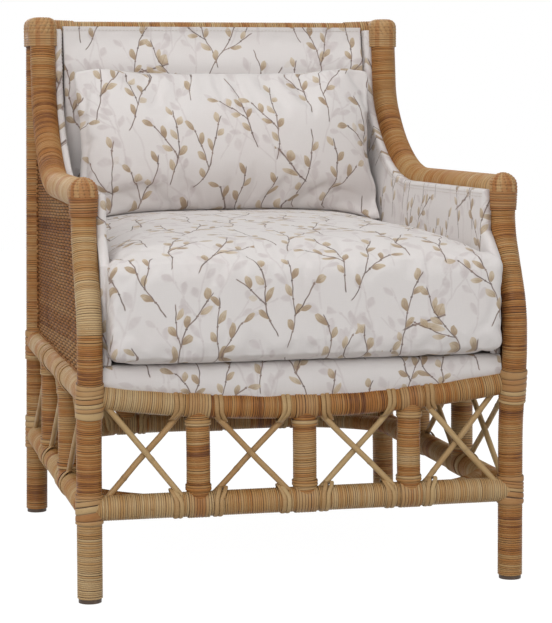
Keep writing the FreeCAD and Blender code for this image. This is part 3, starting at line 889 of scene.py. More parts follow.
@dataclass(frozen=True)
class Plan:
    """Driving sizes of the chair in metres, and the lines that its poles follow."""
    front_spacing: float = 0.652
    back_spacing: float = 0.649
    post_depth: float = 0.701
    post_radius: float = 0.019
    seat_height: float = 0.308
    arm_height: float = 0.598
    full_height: float = 0.880
    low_height: float = 0.139
    back_low_height: float = 0.153
    front_lean: float = 0.0039
    back_lean: float = 0.0127
    glide_height: float = 0.006
    post_bow: float = 0.018
    arm_setback: float = 0.038
    arm_radius: float = 0.022
    swoop_radius: float = 0.275
    swoop_angle: float = math.radians(55)
    upper_radius: float = 0.110
    upper_angle: float = math.radians(29)
    arm_tip_gap: float = 0.0455
    arm_inset: float = 0.0053
    pole_top_drop: float = 0.020
    top_rail_radius: float = 0.018
    top_rail_height: float = 0.857
    rail_radius: float = 0.019
    rail_sag: float = 0.027
    stile_radius: float = 0.018
    front_bays: int = 4
    side_bays: int = 3
    deck_top: float = 0.350
    front_y: float = -0.3367
    back_y: float = 0.3643

    def front_axis(self, height: float) -> Array:
        """Point on the straight line of the right front post."""
        return np.array([self.front_spacing / 2 - self.front_lean * height / self.full_height, self.front_y, height])

    def back_axis(self, height: float) -> Array:
        """Point on the axis of the right back post."""
        return np.array([self.back_spacing / 2 - self.back_lean * height / self.full_height, self.back_y, height])

    def front_post(self) -> Array:
        """Bend the right front post's centre line: its bow and its set back top.

        Returns:
            Points along it.
        """
        levels = ((0.006, 0.0), (0.240, 0.0), (0.345, -self.post_bow), (0.420, -self.post_bow),
                  (0.536, self.arm_setback), (0.606, self.arm_setback))
        return rounded([self.front_axis(height) + BACK * offset for height, offset in levels],
                       (0.25, 0.25, 0.46, 0.42))

    def back_post(self) -> Array:
        """Centre line of the right back post."""
        return between(self.back_axis(self.glide_height), self.back_axis(self.full_height - self.pole_top_drop))

    def arm_start(self) -> Array:
        """Front end of the right arm's centre line."""
        return self.front_axis(self.arm_height) + BACK * self.arm_setback

    def arm_way(self) -> Array:
        """Level direction of the right arm."""
        away = self.back_axis(self.full_height) - OUT * self.arm_inset - self.arm_start()
        return unit(away * [1.0, 1.0, 0.0])

    def arm_inward(self) -> Array:
        """Level direction square to the right arm, into the chair."""
        return np.cross(UP, self.arm_way())

    def arm_profile(self) -> Array:
        """Build the arm's line in its own upright plane.

        Returns:
            Rows of run and rise from the arm's front end.
        """
        bend, steep = self.swoop_angle, self.swoop_angle + self.upper_angle
        step = self.swoop_radius - self.upper_radius
        centre_rise = self.swoop_radius - step * math.cos(bend)
        tip_rise = self.full_height - self.pole_top_drop - self.arm_height
        tip_run = (tip_rise - centre_rise + self.upper_radius * math.cos(steep)) / math.tan(steep)
        bends_run = step * math.sin(bend) + self.upper_radius * math.sin(steep) + tip_run
        level = (self.post_depth - self.arm_setback - self.arm_tip_gap) / self.arm_way()[1] - bends_run
        rows = [pair(np.linspace(0.0, level, 40), 0.0)]
        for run, rise, radius, low, high in (
                (level, self.swoop_radius, self.swoop_radius, 0.0, bend),
                (level + step * math.sin(bend), centre_rise, self.upper_radius, bend, steep)):
            angles = np.linspace(low, high, 50)[1:]
            rows.append(pair(run + radius * np.sin(angles), rise - radius * np.cos(angles)))
        run, rise = rows[-1][-1]
        climb = (tip_rise - rise) * np.linspace(0, 1, 16)[1:]
        rows.append(pair(run + climb / math.tan(steep), rise + climb))
        return np.concatenate(rows)

    def arm_place(self, runs: Array, heights: Array, inward: object = 0.0) -> Array:
        """Find points in the upright plane of the right arm.

        Args:
            runs: Distances from its front end.
            heights: Heights above the floor.
            inward: Distances into the chair.

        Returns:
            The points.
        """
        return (self.arm_start() * [1.0, 1.0, 0.0] + self.arm_way() * np.asarray(runs)[..., None]
                + UP * np.asarray(heights)[..., None]
                + self.arm_inward() * np.broadcast_to(inward, np.shape(runs))[..., None])

    def arm_line(self) -> Array:
        """Centre line of the right arm pole."""
        profile = self.arm_profile()
        return self.arm_place(profile[:, 0], profile[:, 1] + self.arm_height)

    def sag_radius(self) -> float:
        """Radius of the front seat rail's arc."""
        return ((self.front_spacing / 2) ** 2 + self.rail_sag ** 2) / (2 * self.rail_sag)

    def sag_height(self, x: object) -> object:
        """Height of the front seat rail's centre line at a distance from the middle."""
        radius = self.sag_radius()
        return self.seat_height - self.rail_sag + radius - np.sqrt(radius ** 2 - np.square(x))

    def front_rail(self) -> Array:
        """Centre line of the sagging front seat rail."""
        x = np.linspace(-self.front_spacing / 2, self.front_spacing / 2, 120)
        return np.stack([x, np.full(120, self.front_y), self.sag_height(x)], -1)

    def bay_line(self, side: Side) -> Array:
        """Find the ends of the upright lines between one side's bays.

        Args:
            side: Side of the apron.

        Returns:
            The lower and the upper points.
        """
        across = side in (Side.FRONT, Side.BACK)
        low = self.back_low_height if side is Side.BACK else self.low_height
        rows = []
        for height in (low, self.seat_height):
            front, back = self.front_axis(height), self.back_axis(height)
            post = front if side is Side.FRONT else back
            start, end = (post * MIRROR, post) if across else (front, back)
            rows.append(between(start, end, (self.front_bays if across else self.side_bays) + 1))
        line = np.array(rows) * (MIRROR if side is Side.LEFT else 1.0)
        if side is Side.FRONT:
            line[1, :, 2] = self.sag_height(line[1, :, 0])
        return line


def rounded(corners: Sequence[Array], shares: Sequence[float], step: float = 0.004) -> Array:
    """Round the corners of a line with tangent arcs.

    Args:
        corners: Ends and corners of the line.
        shares: Share of the shorter run in each arc.
        step: Distance between points.

    Returns:
        Points along the rounded line.
    """
    rows = [corners[0]]
    for index, share in enumerate(shares, 1):
        corner = corners[index]
        before, after = corners[index - 1] - corner, corners[index + 1] - corner
        reach = share * min(np.linalg.norm(before), np.linalg.norm(after))
        before, after = unit(before), unit(after)
        half = (math.pi - math.acos(float(before @ after))) / 2
        radius = reach / math.tan(half)
        centre = corner + unit(before + after) * radius / math.cos(half)
        start, finish = corner + before * reach - centre, corner + after * reach - centre
        turn = 2 * half
        for place in np.linspace(0, 1, max(4, int(turn * radius / step)) + 1):
            rows.append(centre + (start * math.sin((1 - place) * turn) + finish * math.sin(place * turn))
                        / math.sin(turn))
    return np.array([*rows, corners[-1]])


def settle(piece: bpy.types.Object, body: str, *nodes: str) -> None:
    """Let a piece ride on a body and stand for nodes.

    Args:
        piece: The finished piece.
        body: The body it moves with.
        nodes: The nodes it stands for.
    """
    if nodes:
        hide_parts(*nodes)
    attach(piece, body)
    log.info("%s: %d points", piece.name, len(piece.data.vertices))


@dataclass
class Assembly:
    """A sub-assembly that follows the plan and draws on the wardrobe."""
    plan: Plan
    wardrobe: Wardrobe

    def finish(self, draft: Draft, name: str, finish: object, *nodes: str) -> None:
        """Turn a draft into a dressed piece of the frame.

        Args:
            draft: What has grown.
            name: The piece's name.
            finish: Its finish.
            nodes: The nodes it stands for.
        """
        piece = draft.make(name)
        self.wardrobe.dress(piece, finish)
        settle(piece, "frame", *nodes)


# ---------------------------------------------------------------- wound poles

BROAD_PROFILE = ((0.0, 1.0), (0.1, 0.3), (0.3, 0.0), (0.7, 0.0), (0.9, 0.3))


@dataclass
class PoleFrame(Assembly):
    """Posts, arms, rails, stretchers and braces, each wound with rattan core."""
    fine: Winding = Winding()
    low_fine: Winding = Winding(tone=(0.15, 0.85))
    rear: Winding = Winding(tone=(0.4, 0.85))
    wide: Winding = Winding(strand=0.0092, depth=0.0007, slant=0.34, tone=(0.2, 0.65), run=(0.02, 0.06),
                            gap_chance=0.05, fleck=0.16, uneven=0.3, profile=BROAD_PROFILE)
    # painted shade: darker tones for the back seat rail, which lies in shade under the seat
    shaded: Winding = Winding(tone=(0.7, 1.1))
    broad_run: float = 0.335
    brace_radius: float = 0.014
    brace_reach: float = 0.138
    brace_bulge: float = 0.024
    front_bands: dict = field(default_factory=lambda: {
        Hand.LEFT: ((0.0, 0.2), (0.12, 0.3), (0.15, 0.7), (0.29, 0.68), (0.33, 0.62), (0.385, 0.5), (0.4, -0.1),
                    (0.45, -0.05), (0.48, 0.35), (0.53, 0.35), (0.57, 0.7)),
        # right front post: tones darker overall, partly real colour bands and partly painted shade
        Hand.RIGHT: ((0.0, 0.6), (0.1, 0.7), (0.16, 0.7), (0.30, 0.75), (0.33, 0.7), (0.39, 0.65), (0.43, 0.75),
                     (0.46, 0.5), (0.51, 0.45), (0.53, 0.7), (0.57, 0.6))})
    arm_bands: dict = field(default_factory=lambda: {
        Hand.LEFT: ((0.335, 0.5), (0.45, 0.72), (0.6, 0.78), (0.8, 0.7)),
        Hand.RIGHT: ((0.335, 0.45), (0.5, 0.62), (0.8, 0.68))})
    rail_bands: Bands = ((0.0, 0.1), (0.13, 0.15), (0.18, 0.65), (0.4, 0.7), (0.48, 0.6), (0.62, 0.5))
    low_bands: Bands = ((0.0, 0.1), (0.2, 0.25), (0.3, 0.45), (0.4, 0.2), (0.62, 0.2))

    def pole(self, node: str, path: Array, radius: float, side: Array, winding: Winding, seed: int,
             bands: Bands = (), broad_to: float = 0.0) -> None:
        """Make one wound pole in place of its node.

        Args:
            node: The node it stands for.
            path: Centre line.
            radius: Outer radius.
            side: Direction square to the path.
            winding: How it is wound.
            seed: Its seed.
            bands: Places and tones along it.
            broad_to: Where its broad strands end.
        """
        draft = Draft(seed)
        if broad_to:
            self.wide.wrap(draft, path, radius, side, 0.0, broad_to)
        winding.wrap(draft, path, radius, side, broad_to, bands=bands)
        self.finish(draft, "wound_" + node.replace("arm_rail", "arm"), self.wardrobe.wound, node)

    def build(self) -> None:
        """Make every pole of the frame."""
        plan = self.plan
        way = unit(plan.back_axis(plan.low_height) - plan.front_axis(plan.low_height))
        middle = (plan.low_height + plan.back_low_height) / 2
        for hand, seed in ((Hand.RIGHT, 10), (Hand.LEFT, 40)):
            word, mirror = hand.word, hand.mirror
            self.pole(f"front_post_{word}", plan.front_post() * mirror, plan.post_radius, OUT, self.fine, seed + 1,
                      self.front_bands[hand])
            self.pole(f"back_post_{word}", plan.back_post() * mirror, plan.post_radius, OUT, self.rear, seed + 2)
            self.pole(f"arm_rail_{word}", plan.arm_line() * mirror, plan.arm_radius, plan.arm_inward() * mirror,
                      self.fine, seed + 3, self.arm_bands[hand], self.broad_run)
            for node, height, winding, step in (("seat_rail", plan.seat_height, self.wide, 4),
                                                ("stretcher", plan.low_height, self.low_fine, 5)):
                line = between(plan.front_axis(height), plan.back_axis(height)) * mirror
                self.pole(f"{node}_{word}", line, plan.rail_radius, UP, winding, seed + step)
            for end, post_point, ahead, step in (("front", plan.front_axis(plan.low_height), way, 6),
                                                 ("back", plan.back_axis(middle), -way, 7)):
                self.pole(f"brace_{end}_{word}", self.brace_line(post_point, ahead) * mirror, self.brace_radius, UP,
                          self.low_fine, seed + step)
        self.pole("seat_rail_front", plan.front_rail(), plan.rail_radius, UP, self.low_fine, 71, self.rail_bands)
        for node, end, radius, winding, seed, bands in (
                # the back seat rail is wound with the shaded winding, its tones darkened as painted shade
                ("seat_rail_back", plan.back_axis(plan.seat_height), plan.rail_radius, self.shaded, 73, ()),
                ("stretcher_front", plan.front_axis(plan.low_height), plan.rail_radius, self.low_fine, 74,
                 self.low_bands),
                ("stretcher_back", plan.back_axis(plan.back_low_height), plan.rail_radius, self.low_fine, 75, ()),
                ("top_rail", plan.back_axis(plan.top_rail_height), plan.top_rail_radius, self.fine, 76, ())):
            self.pole(node, between(end * MIRROR, end), radius, UP, winding, seed, bands)

    def brace_line(self, post_point: Array, ahead: Array) -> Array:
        """Lay one corner brace, bulging towards the post.

        Args:
            post_point: The post's axis at its height.
            ahead: Way of the side stretcher from there.

        Returns:
            Points along the brace.
        """
        start, end = post_point + ahead * self.brace_reach, post_point - OUT * self.brace_reach
        shares = np.linspace(-1, 1, 24)[:, None]
        line = (start + end) / 2 + (end - start) / 2 * shares + unit(OUT - ahead) * self.brace_bulge * (1 - shares ** 2)
        line[:, 2] = post_point[2]
        return line


@dataclass
class Bindings(Assembly):
    """Lashings round the posts, collars of the top rail and straps of the stiles."""
    wall: float = 0.0020
    drop: float = 0.006
    seat_length: float = 0.052
    low_length: float = 0.044
    collar_length: float = 0.046
    collar_walls: tuple[float, float] = (0.004, 0.0014)
    broad: Winding = Winding(strand=0.0078, depth=0.0011, slant=0.24, tone=(0.0, 0.6), run=(0.006, 0.02),
                             uneven=0.55, gap_chance=0.2,
                             profile=((0.0, 1.0), (0.1, 0.35), (0.3, 0.0), (0.7, 0.0), (0.9, 0.35)))
    narrow: Winding = Winding(strand=0.0040, depth=0.0009, slant=0.03, tone=(0.1, 0.6), run=(0.006, 0.02),
                              gap_chance=0.1)
    slanting: Winding = Winding(strand=0.0090, depth=0.0007, slant=0.3, tone=(0.2, 0.65), run=(0.02, 0.06),
                                gap_chance=0.0, fleck=0.16, profile=BROAD_PROFILE)
    strap_half: float = 0.0165
    strap_wall: float = 0.0019

    def build(self) -> None:
        """Make the lashings of the four posts and the top rail's collars."""
        plan = self.plan
        for hand in Hand:
            for end, path in (("front", plan.front_post()), ("back", plan.back_post())):
                draft = Draft(100 + len(end) * 7 + hand.value)
                rise = plan.back_low_height - plan.low_height if end == "back" else 0.0
                for height, length in ((plan.seat_height - self.drop, self.seat_length),
                                       (plan.low_height + rise / 2, self.low_length + rise)):
                    middle = height - plan.glide_height
                    self.broad.wrap(draft, path * hand.mirror, plan.post_radius + self.wall, OUT,
                                    middle - length / 2, middle + length / 2)
                self.finish(draft, f"post_lashing_{end}_{hand.word}", self.wardrobe.lashing,
                            f"post_lashings_{end}_{hand.word}")
        draft = Draft(131)
        for hand in Hand:
            end = plan.back_axis(plan.top_rail_height) * hand.mirror
            path = between(end, end - OUT * hand.value * (plan.post_radius + self.collar_length))
            self.narrow.wrap(draft, path, [plan.top_rail_radius + wall for wall in self.collar_walls], UP)
        self.finish(draft, "top_rail_collar_winding", self.wardrobe.lashing, "top_rail_collars")

    def strap(self, draft: Draft, centre: Array, way: Array, broad: bool) -> None:
        """Add the raised strands round a rail where a stile stands.

        Args:
            draft: Where they are added.
            centre: Where the stile meets the rail.
            way: Direction of the rail.
            broad: Whether they are broad and slanting.
        """
        reach = way * self.strap_half
        winding, wall = (self.slanting, self.strap_wall * 0.55) if broad else (self.narrow, self.strap_wall)
        winding.wrap(draft, between(centre - reach, centre + reach, 12), self.plan.rail_radius + wall, UP)


@dataclass
class Apron(Assembly):
    """Stiles, crossed canes, straps and tie loops between the seat rails and the stretchers."""
    bindings: Bindings
    fine: Winding = Winding(tone=(0.35, 0.85))
    turns: Winding = Winding(strand=0.0036, depth=0.0009, slant=0.04, tone=(0.0, 0.7), run=(0.003, 0.008),
                             gap_chance=0.0)
    turn_length: float = 0.009
    turn_wall: float = 0.0018
    cane_radius: float = 0.0045
    cane_gap: float = 0.012
    cane_sides: int = 14
    cane_sink: float = 0.009
    node_width: float = 0.0022
    node_rise: float = 0.0005
    node_shade: float = 0.55
    loop_radius: float = 0.0033
    loop_wall: float = 0.0007
    loop_crest: float = 0.0046
    loop_lean: float = 0.009 / 0.42
    loops: Bands = ((-0.0050, 0.30), (0.0020, 0.44))

    def rail_way(self, side: Side, point: Array, low: bool) -> Array:
        """Find the direction of a side's rail at a point.

        Args:
            side: Side of the apron.
            point: A point on the rail.
            low: Whether it is the lower rail.

        Returns:
            The unit direction.
        """
        if side is Side.FRONT and not low:
            slope = math.asin(point[0] / self.plan.sag_radius())
            return np.array([math.cos(slope), 0.0, math.sin(slope)])
        row = self.plan.bay_line(side)[0 if low else 1]
        return unit(row[-1] - row[0])

    def stiles(self, side: Side, rng: Chance) -> None:
        """Make the stiles of one side and the straps over the rails at their ends.

        Args:
            side: Side of the apron.
            rng: Chance.
        """
        plan = self.plan
        lows, highs = plan.bay_line(side)
        stiles, straps = Draft(rng), Draft(rng)
        for low, high in zip(lows[1:-1], highs[1:-1]):
            lean = wander(rng, np.linspace(0, 1, 24), 0.5) * 0.0008
            path = between(low, high, 24) + self.rail_way(side, low, True) * lean[:, None]
            self.fine.wrap(stiles, path, plan.stile_radius, side.facing)
            step = plan.rail_radius + self.bindings.strap_wall
            for start in (step, path_length(path) - step - self.turn_length):
                self.turns.wrap(stiles, path, plan.stile_radius + self.turn_wall, side.facing, start,
                                start + self.turn_length)
            for point, is_low in ((low, True), (high, False)):
                self.bindings.strap(straps, point, self.rail_way(side, point, is_low),
                                    not is_low and side in (Side.LEFT, Side.RIGHT))
        self.finish(stiles, f"{side.value}_wound_stiles", self.wardrobe.wound, f"{side.value}_stiles")
        self.finish(straps, f"{side.value}_straps", self.wardrobe.lashing, f"{side.value}_stile_straps")

    def cane_ends(self, side: Side, index: int) -> list[tuple[Array, Array, Array, Array]]:
        """Find where the two canes of one bay stand on the rails.

        Args:
            side: Side of the apron.
            index: Bay number.

        Returns:
            For each cane its foot, its head and the rails' axes below and above them.
        """
        plan = self.plan
        lines = plan.bay_line(side)
        left, right = ((plan.post_radius if at_post else plan.stile_radius) + self.cane_gap
                       for at_post in (index == 0, index == len(lines[0]) - 2))
        ends = []
        for line in lines:
            way = unit(line[index + 1] - line[index])
            ends.append((line[index] + way * left, line[index + 1] - way * right))
        canes = []
        for low_end, layer in ((0, -1.0), (1, 1.0)):
            low, high = ends[0][low_end], ends[1][1 - low_end].copy()
            if side is Side.FRONT:
                high[2] = plan.sag_height(high[0])
            offset = side.facing * layer * self.cane_radius
            canes.append((low + UP * plan.rail_radius + offset, high - UP * plan.rail_radius + offset, low, high))
        return canes

    def canes(self, side: Side, rng: Chance) -> None:
        """Make one side's crossed canes and the loops that tie them to the rails.

        Args:
            side: Side of the apron.
            rng: Chance.
        """
        plan, draft = self.plan, Draft(rng)
        lines = plan.bay_line(side)
        places = np.linspace(0, 1, 60)
        for index in range(len(lines[0]) - 1):
            for foot, head, *rails in self.cane_ends(side, index):
                way = unit(head - foot)
                sway = wander(rng, places, 0.4) * 0.0012 * np.sin(places * math.pi)
                self.bare(draft, between(foot - way * self.cane_sink, head + way * self.cane_sink)
                          + np.cross(way, side.facing) * sway[:, None], side.facing)
                for rail, line, up in zip(rails, lines, (way, -way)):
                    if np.linalg.norm(line[[0, -1]] - rail, axis=1).min() > plan.post_radius + self.cane_gap + 0.02:
                        self.tie(draft, rail, side, rail is rails[0], up)
        self.finish(draft, f"{side.value}_crossed_canes", self.wardrobe.bare, f"{side.value}_canes")

    def bare(self, draft: Draft, line: Array, normal: Array) -> None:
        """Add a smooth cane with low nodes.

        Args:
            draft: Where it is added.
            line: Its centre line.
            normal: A direction square to it.
        """
        rng, sides, length = draft.rng, self.cane_sides, path_length(line)
        places = np.linspace(0, length, len(line))
        radius = self.cane_radius * (1 + 0.05 * wander(rng, places, 0.05))
        dip = np.full(len(line), 0.05)
        for node in np.arange(rng.uniform(0.02, 0.1), length, rng.uniform(0.09, 0.16)):
            near = bell(places - node, self.node_width)
            radius = radius + near * self.node_rise
            dip = dip + near * self.node_shade
        heading = unit(np.gradient(line, axis=0))
        first = unit(normal - heading * (heading @ normal)[:, None])
        rim = tube(line, first, np.cross(heading, first), radius, circle(sides))
        around = np.arange(sides + 1) / sides * TURN * self.cane_radius
        draft.grid(rim, pair(around + rng.random(), places[:, None]), rng.uniform(0.05, 0.6), dip[:, None],
                   closed=True)

    def tie(self, draft: Draft, rail: Array, side: Side, is_low: bool, way: Array) -> None:
        """Add the slanting loops that hold a cane's end against a rail.

        Args:
            draft: Where they are added.
            rail: The rail's axis there.
            side: Side of the apron.
            is_low: Whether it is the lower rail.
            way: Direction of the cane from there.
        """
        along = self.rail_way(side, rail, is_low)
        angles = np.linspace(0, TURN, 44)
        crest = np.clip(np.cos(angles), 0, 1)
        out = (UP if is_low else -UP) * np.cos(angles)[:, None] + side.facing * np.sin(angles)[:, None]
        lean = math.copysign(self.loop_lean, float(way @ along))
        for step, slope in self.loops:
            ring = (rail + out * (self.plan.rail_radius + self.loop_wall + crest ** 6 * self.loop_crest)[:, None]
                    + along * (step + lean * slope * crest ** 3)[:, None])
            draft.strand(ring, self.loop_radius, 0.34, out, draft.rng.uniform(0.1, 0.6))

    def build(self) -> None:
        """Make the four sides of the apron."""
        for number, side in enumerate(Side):
            self.stiles(side, np.random.default_rng(200 + number))
            self.canes(side, np.random.default_rng(220 + number))


# ---------------------------------------------------------------- woven caps and panels


def plait(around: Array, up_rows: Array, phase: Array) -> tuple[Array, Array]:
    """Lay a basket weave of wide flat strands.

    Args:
        around: Place across the stakes, in strands.
        up_rows: Place across the weavers.
        phase: Extra shift of the pattern.

    Returns:
        The height from 0 to 1 and how deep the point lies between strands, which the caps use as painted shade.
    """
    column, row = np.floor(around + phase), np.floor(up_rows)
    arch_x = np.sin((around + phase - column) * math.pi)
    arch_y = np.sin((up_rows - row) * math.pi)
    strand = np.where((column + row) % 2 == 0, arch_y ** 0.4 * (0.55 + 0.45 * arch_x),
                      arch_x ** 0.4 * (0.55 + 0.45 * arch_y))
    return strand, 1 - np.clip(strand * 1.6, 0, 1)


@dataclass
class Caps(Assembly):
    """Woven caps of the four posts."""
    wall: float = 0.0034
    front_length: float = 0.058
    front_rise: float = 0.018
    front_lift: float = 0.008
    front_strands: int = 16
    front_strand: float = 0.0052
    back_length: float = 0.050
    back_round: float = 0.015
    back_strands: int = 26
    back_strand: float = 0.0058
    front_cells: tuple[int, int] = (46, 112)
    wall_share: float = 0.30
    front_relief: float = 0.0018
    back_rows: tuple[int, int] = (40, 8)
    back_columns: int = 168
    back_turn: float = 0.0042
    back_relief: float = 0.0015
    turns: Winding = Winding(strand=0.0036, depth=0.0009, slant=0.06, tone=(0.3, 0.8), run=(0.01, 0.03),
                             gap_chance=0.15)

    def front(self, hand: Hand) -> None:
        """Make the domed cap of a front post: plaited crown over slanting turns.

        Args:
            hand: Which side it is on.
        """
        plan, draft = self.plan, Draft(300 + hand.value)
        height = plan.arm_height + self.front_lift
        centre = (plan.front_axis(height) + BACK * plan.arm_setback) * hand.mirror
        centre[2] = height + self.front_rise - self.front_length
        radius = plan.post_radius + self.wall
        rows, columns = self.front_cells
        rim = self.front_length - self.front_rise
        length = rim * self.wall_share
        dome_radius = (radius ** 2 + self.front_rise ** 2) / (2 * self.front_rise)
        full = math.acos((dome_radius - self.front_rise) / dome_radius)
        dome = dome_radius * full
        run = np.linspace(0, 1, rows)[:, None] * (length + dome)
        on_wall = run < length
        turn = full * (1 - np.clip((run - length) / dome, 0, 1))
        around = np.arange(columns) / columns * self.front_strands
        up_rows = run / self.front_strand
        crest, dip = plait(around, up_rows, up_rows * 0.14)
        lift = (crest - 1.0) * self.front_relief * smooth(0.0, 0.004, length + dome - run)
        slope = np.where(on_wall, 0.0, math.pi / 2 - turn)
        shell = np.where(on_wall, radius, dome_radius * np.sin(turn)) + lift * np.cos(slope)
        shell = np.maximum(shell - (1 - smooth(0.0, 0.006, np.abs(run - length))) * 0.0005, 0.0004)
        rise = np.where(on_wall, rim - length + run, self.front_length - dome_radius * (1 - np.cos(turn)))
        angles = circle(columns)
        points = centre + np.stack([shell * np.cos(angles), shell * np.sin(angles), rise + lift * np.sin(slope)], -1)
        tone = 0.5 + 0.25 * np.sin(np.floor(around) * 2.3) + draft.rng.uniform(-0.1, 0.1, (rows, 1))
        # dip from the plait is painted shade between the strands
        draft.grid(points, pair(np.arange(columns + 1) / columns * TURN * radius, run), tone, dip * 0.9, closed=True)
        self.turns.wrap(draft, between(centre, centre + UP * (rim - length + 0.001), 12), (radius - 0.0014, radius),
                        OUT)
        self.finish(draft, f"woven_front_cap_{hand.word}", self.wardrobe.lashing, f"front_cap_{hand.word}")

    def outline(self, shrink: Array, count: int) -> Array:
        """Draw the back cap's outline round the post and the arm's end.

        Args:
            shrink: How far each row is drawn in.
            count: Points round the outline.

        Returns:
            Rows of evenly spaced points by two.
        """
        plan = self.plan
        post = plan.back_axis(plan.full_height - self.back_length)[:2]
        arm = plan.arm_line()[-1][:2]
        forward = unit(arm - post)
        ways = np.array([forward, [-forward[1], forward[0]]])
        angles = circle(count)
        spots = np.stack([np.cos(angles), np.sin(angles)], -1) @ ways
        lean = (plan.arm_radius - plan.post_radius) / np.linalg.norm(arm - post)
        on_arm = (np.cos(angles) >= -lean)[:, None]
        even = []
        for inset in self.wall - shrink:
            ring = np.where(on_arm, arm, post) + spots * (np.where(on_arm, plan.arm_radius, plan.post_radius) + inset)
            closed = np.vstack([ring, ring[:1]])
            runs = runs_along(closed)
            at = np.linspace(0, runs[-1], count, endpoint=False)
            even.append(np.stack([np.interp(at, runs, row) for row in closed.T], -1))
        return np.array(even)

    def back(self, hand: Hand) -> None:
        """Make the plaited cap over a back post and the arm's upper end.

        Args:
            hand: Which side it is on.
        """
        draft = Draft(310 + hand.value)
        columns, flip = self.back_columns, hand is Hand.LEFT
        wall_rows, top_rows = self.back_rows
        wall = self.back_length - self.back_round
        bend = np.linspace(0, math.pi / 2, 17)[1:]
        height = np.concatenate([np.linspace(0, wall, wall_rows), wall + self.back_round * np.sin(bend),
                                 np.full(top_rows, self.back_length)])
        shrink = np.concatenate([np.zeros(wall_rows), self.back_round * (1 - np.cos(bend)),
                                 self.back_round + np.linspace(0.0006, 0.0066, top_rows)])
        rings = self.outline(shrink, columns)
        run = runs_along(pair(height, shrink))[:, None]
        around = np.arange(columns) / columns * self.back_strands
        crown, dip = plait(around, run / self.back_strand, run / self.back_strand * 0.35)
        turns = np.abs(np.sin(run / self.back_turn * math.pi))
        share = smooth(0.018, 0.024, run)
        lift = (crown * share + turns ** 0.5 * (1 - share) - 1) * self.back_relief
        # gap is painted shade: between plaited strands on the crown, between turns lower down
        gap = dip * share + (1 - np.clip(turns * 2.2, 0, 1)) * (1 - share)
        slope = smooth(0, 1, shrink / self.back_round)[:, None]
        flat = rings + unit(rings - rings.mean(axis=1, keepdims=True)) * (lift * (1 - slope * 0.8))[..., None]
        level = self.plan.full_height - self.back_length + height[:, None] + lift * slope
        points = np.concatenate([flat, level[..., None]], -1) * hand.mirror
        tone = 0.35 + 0.2 * np.sin(np.floor(around) * 1.9) + draft.rng.uniform(-0.12, 0.12, (len(run), 1))
        draft.grid(points, pair(np.arange(columns + 1) / columns * 0.2, run), tone, gap * 0.9, closed=True,
                   flip=flip)
        # the lid gets painted shade of 0.4
        draft.lid(points[-1], points[-1].mean(0) + UP * 0.0002, 0.4, 0.4, flip)
        self.finish(draft, f"woven_back_cap_{hand.word}", self.wardrobe.lashing, f"back_cap_{hand.word}")

    def build(self) -> None:
        """Make the four caps."""
        for hand in Hand:
            self.front(hand)
            self.back(hand)


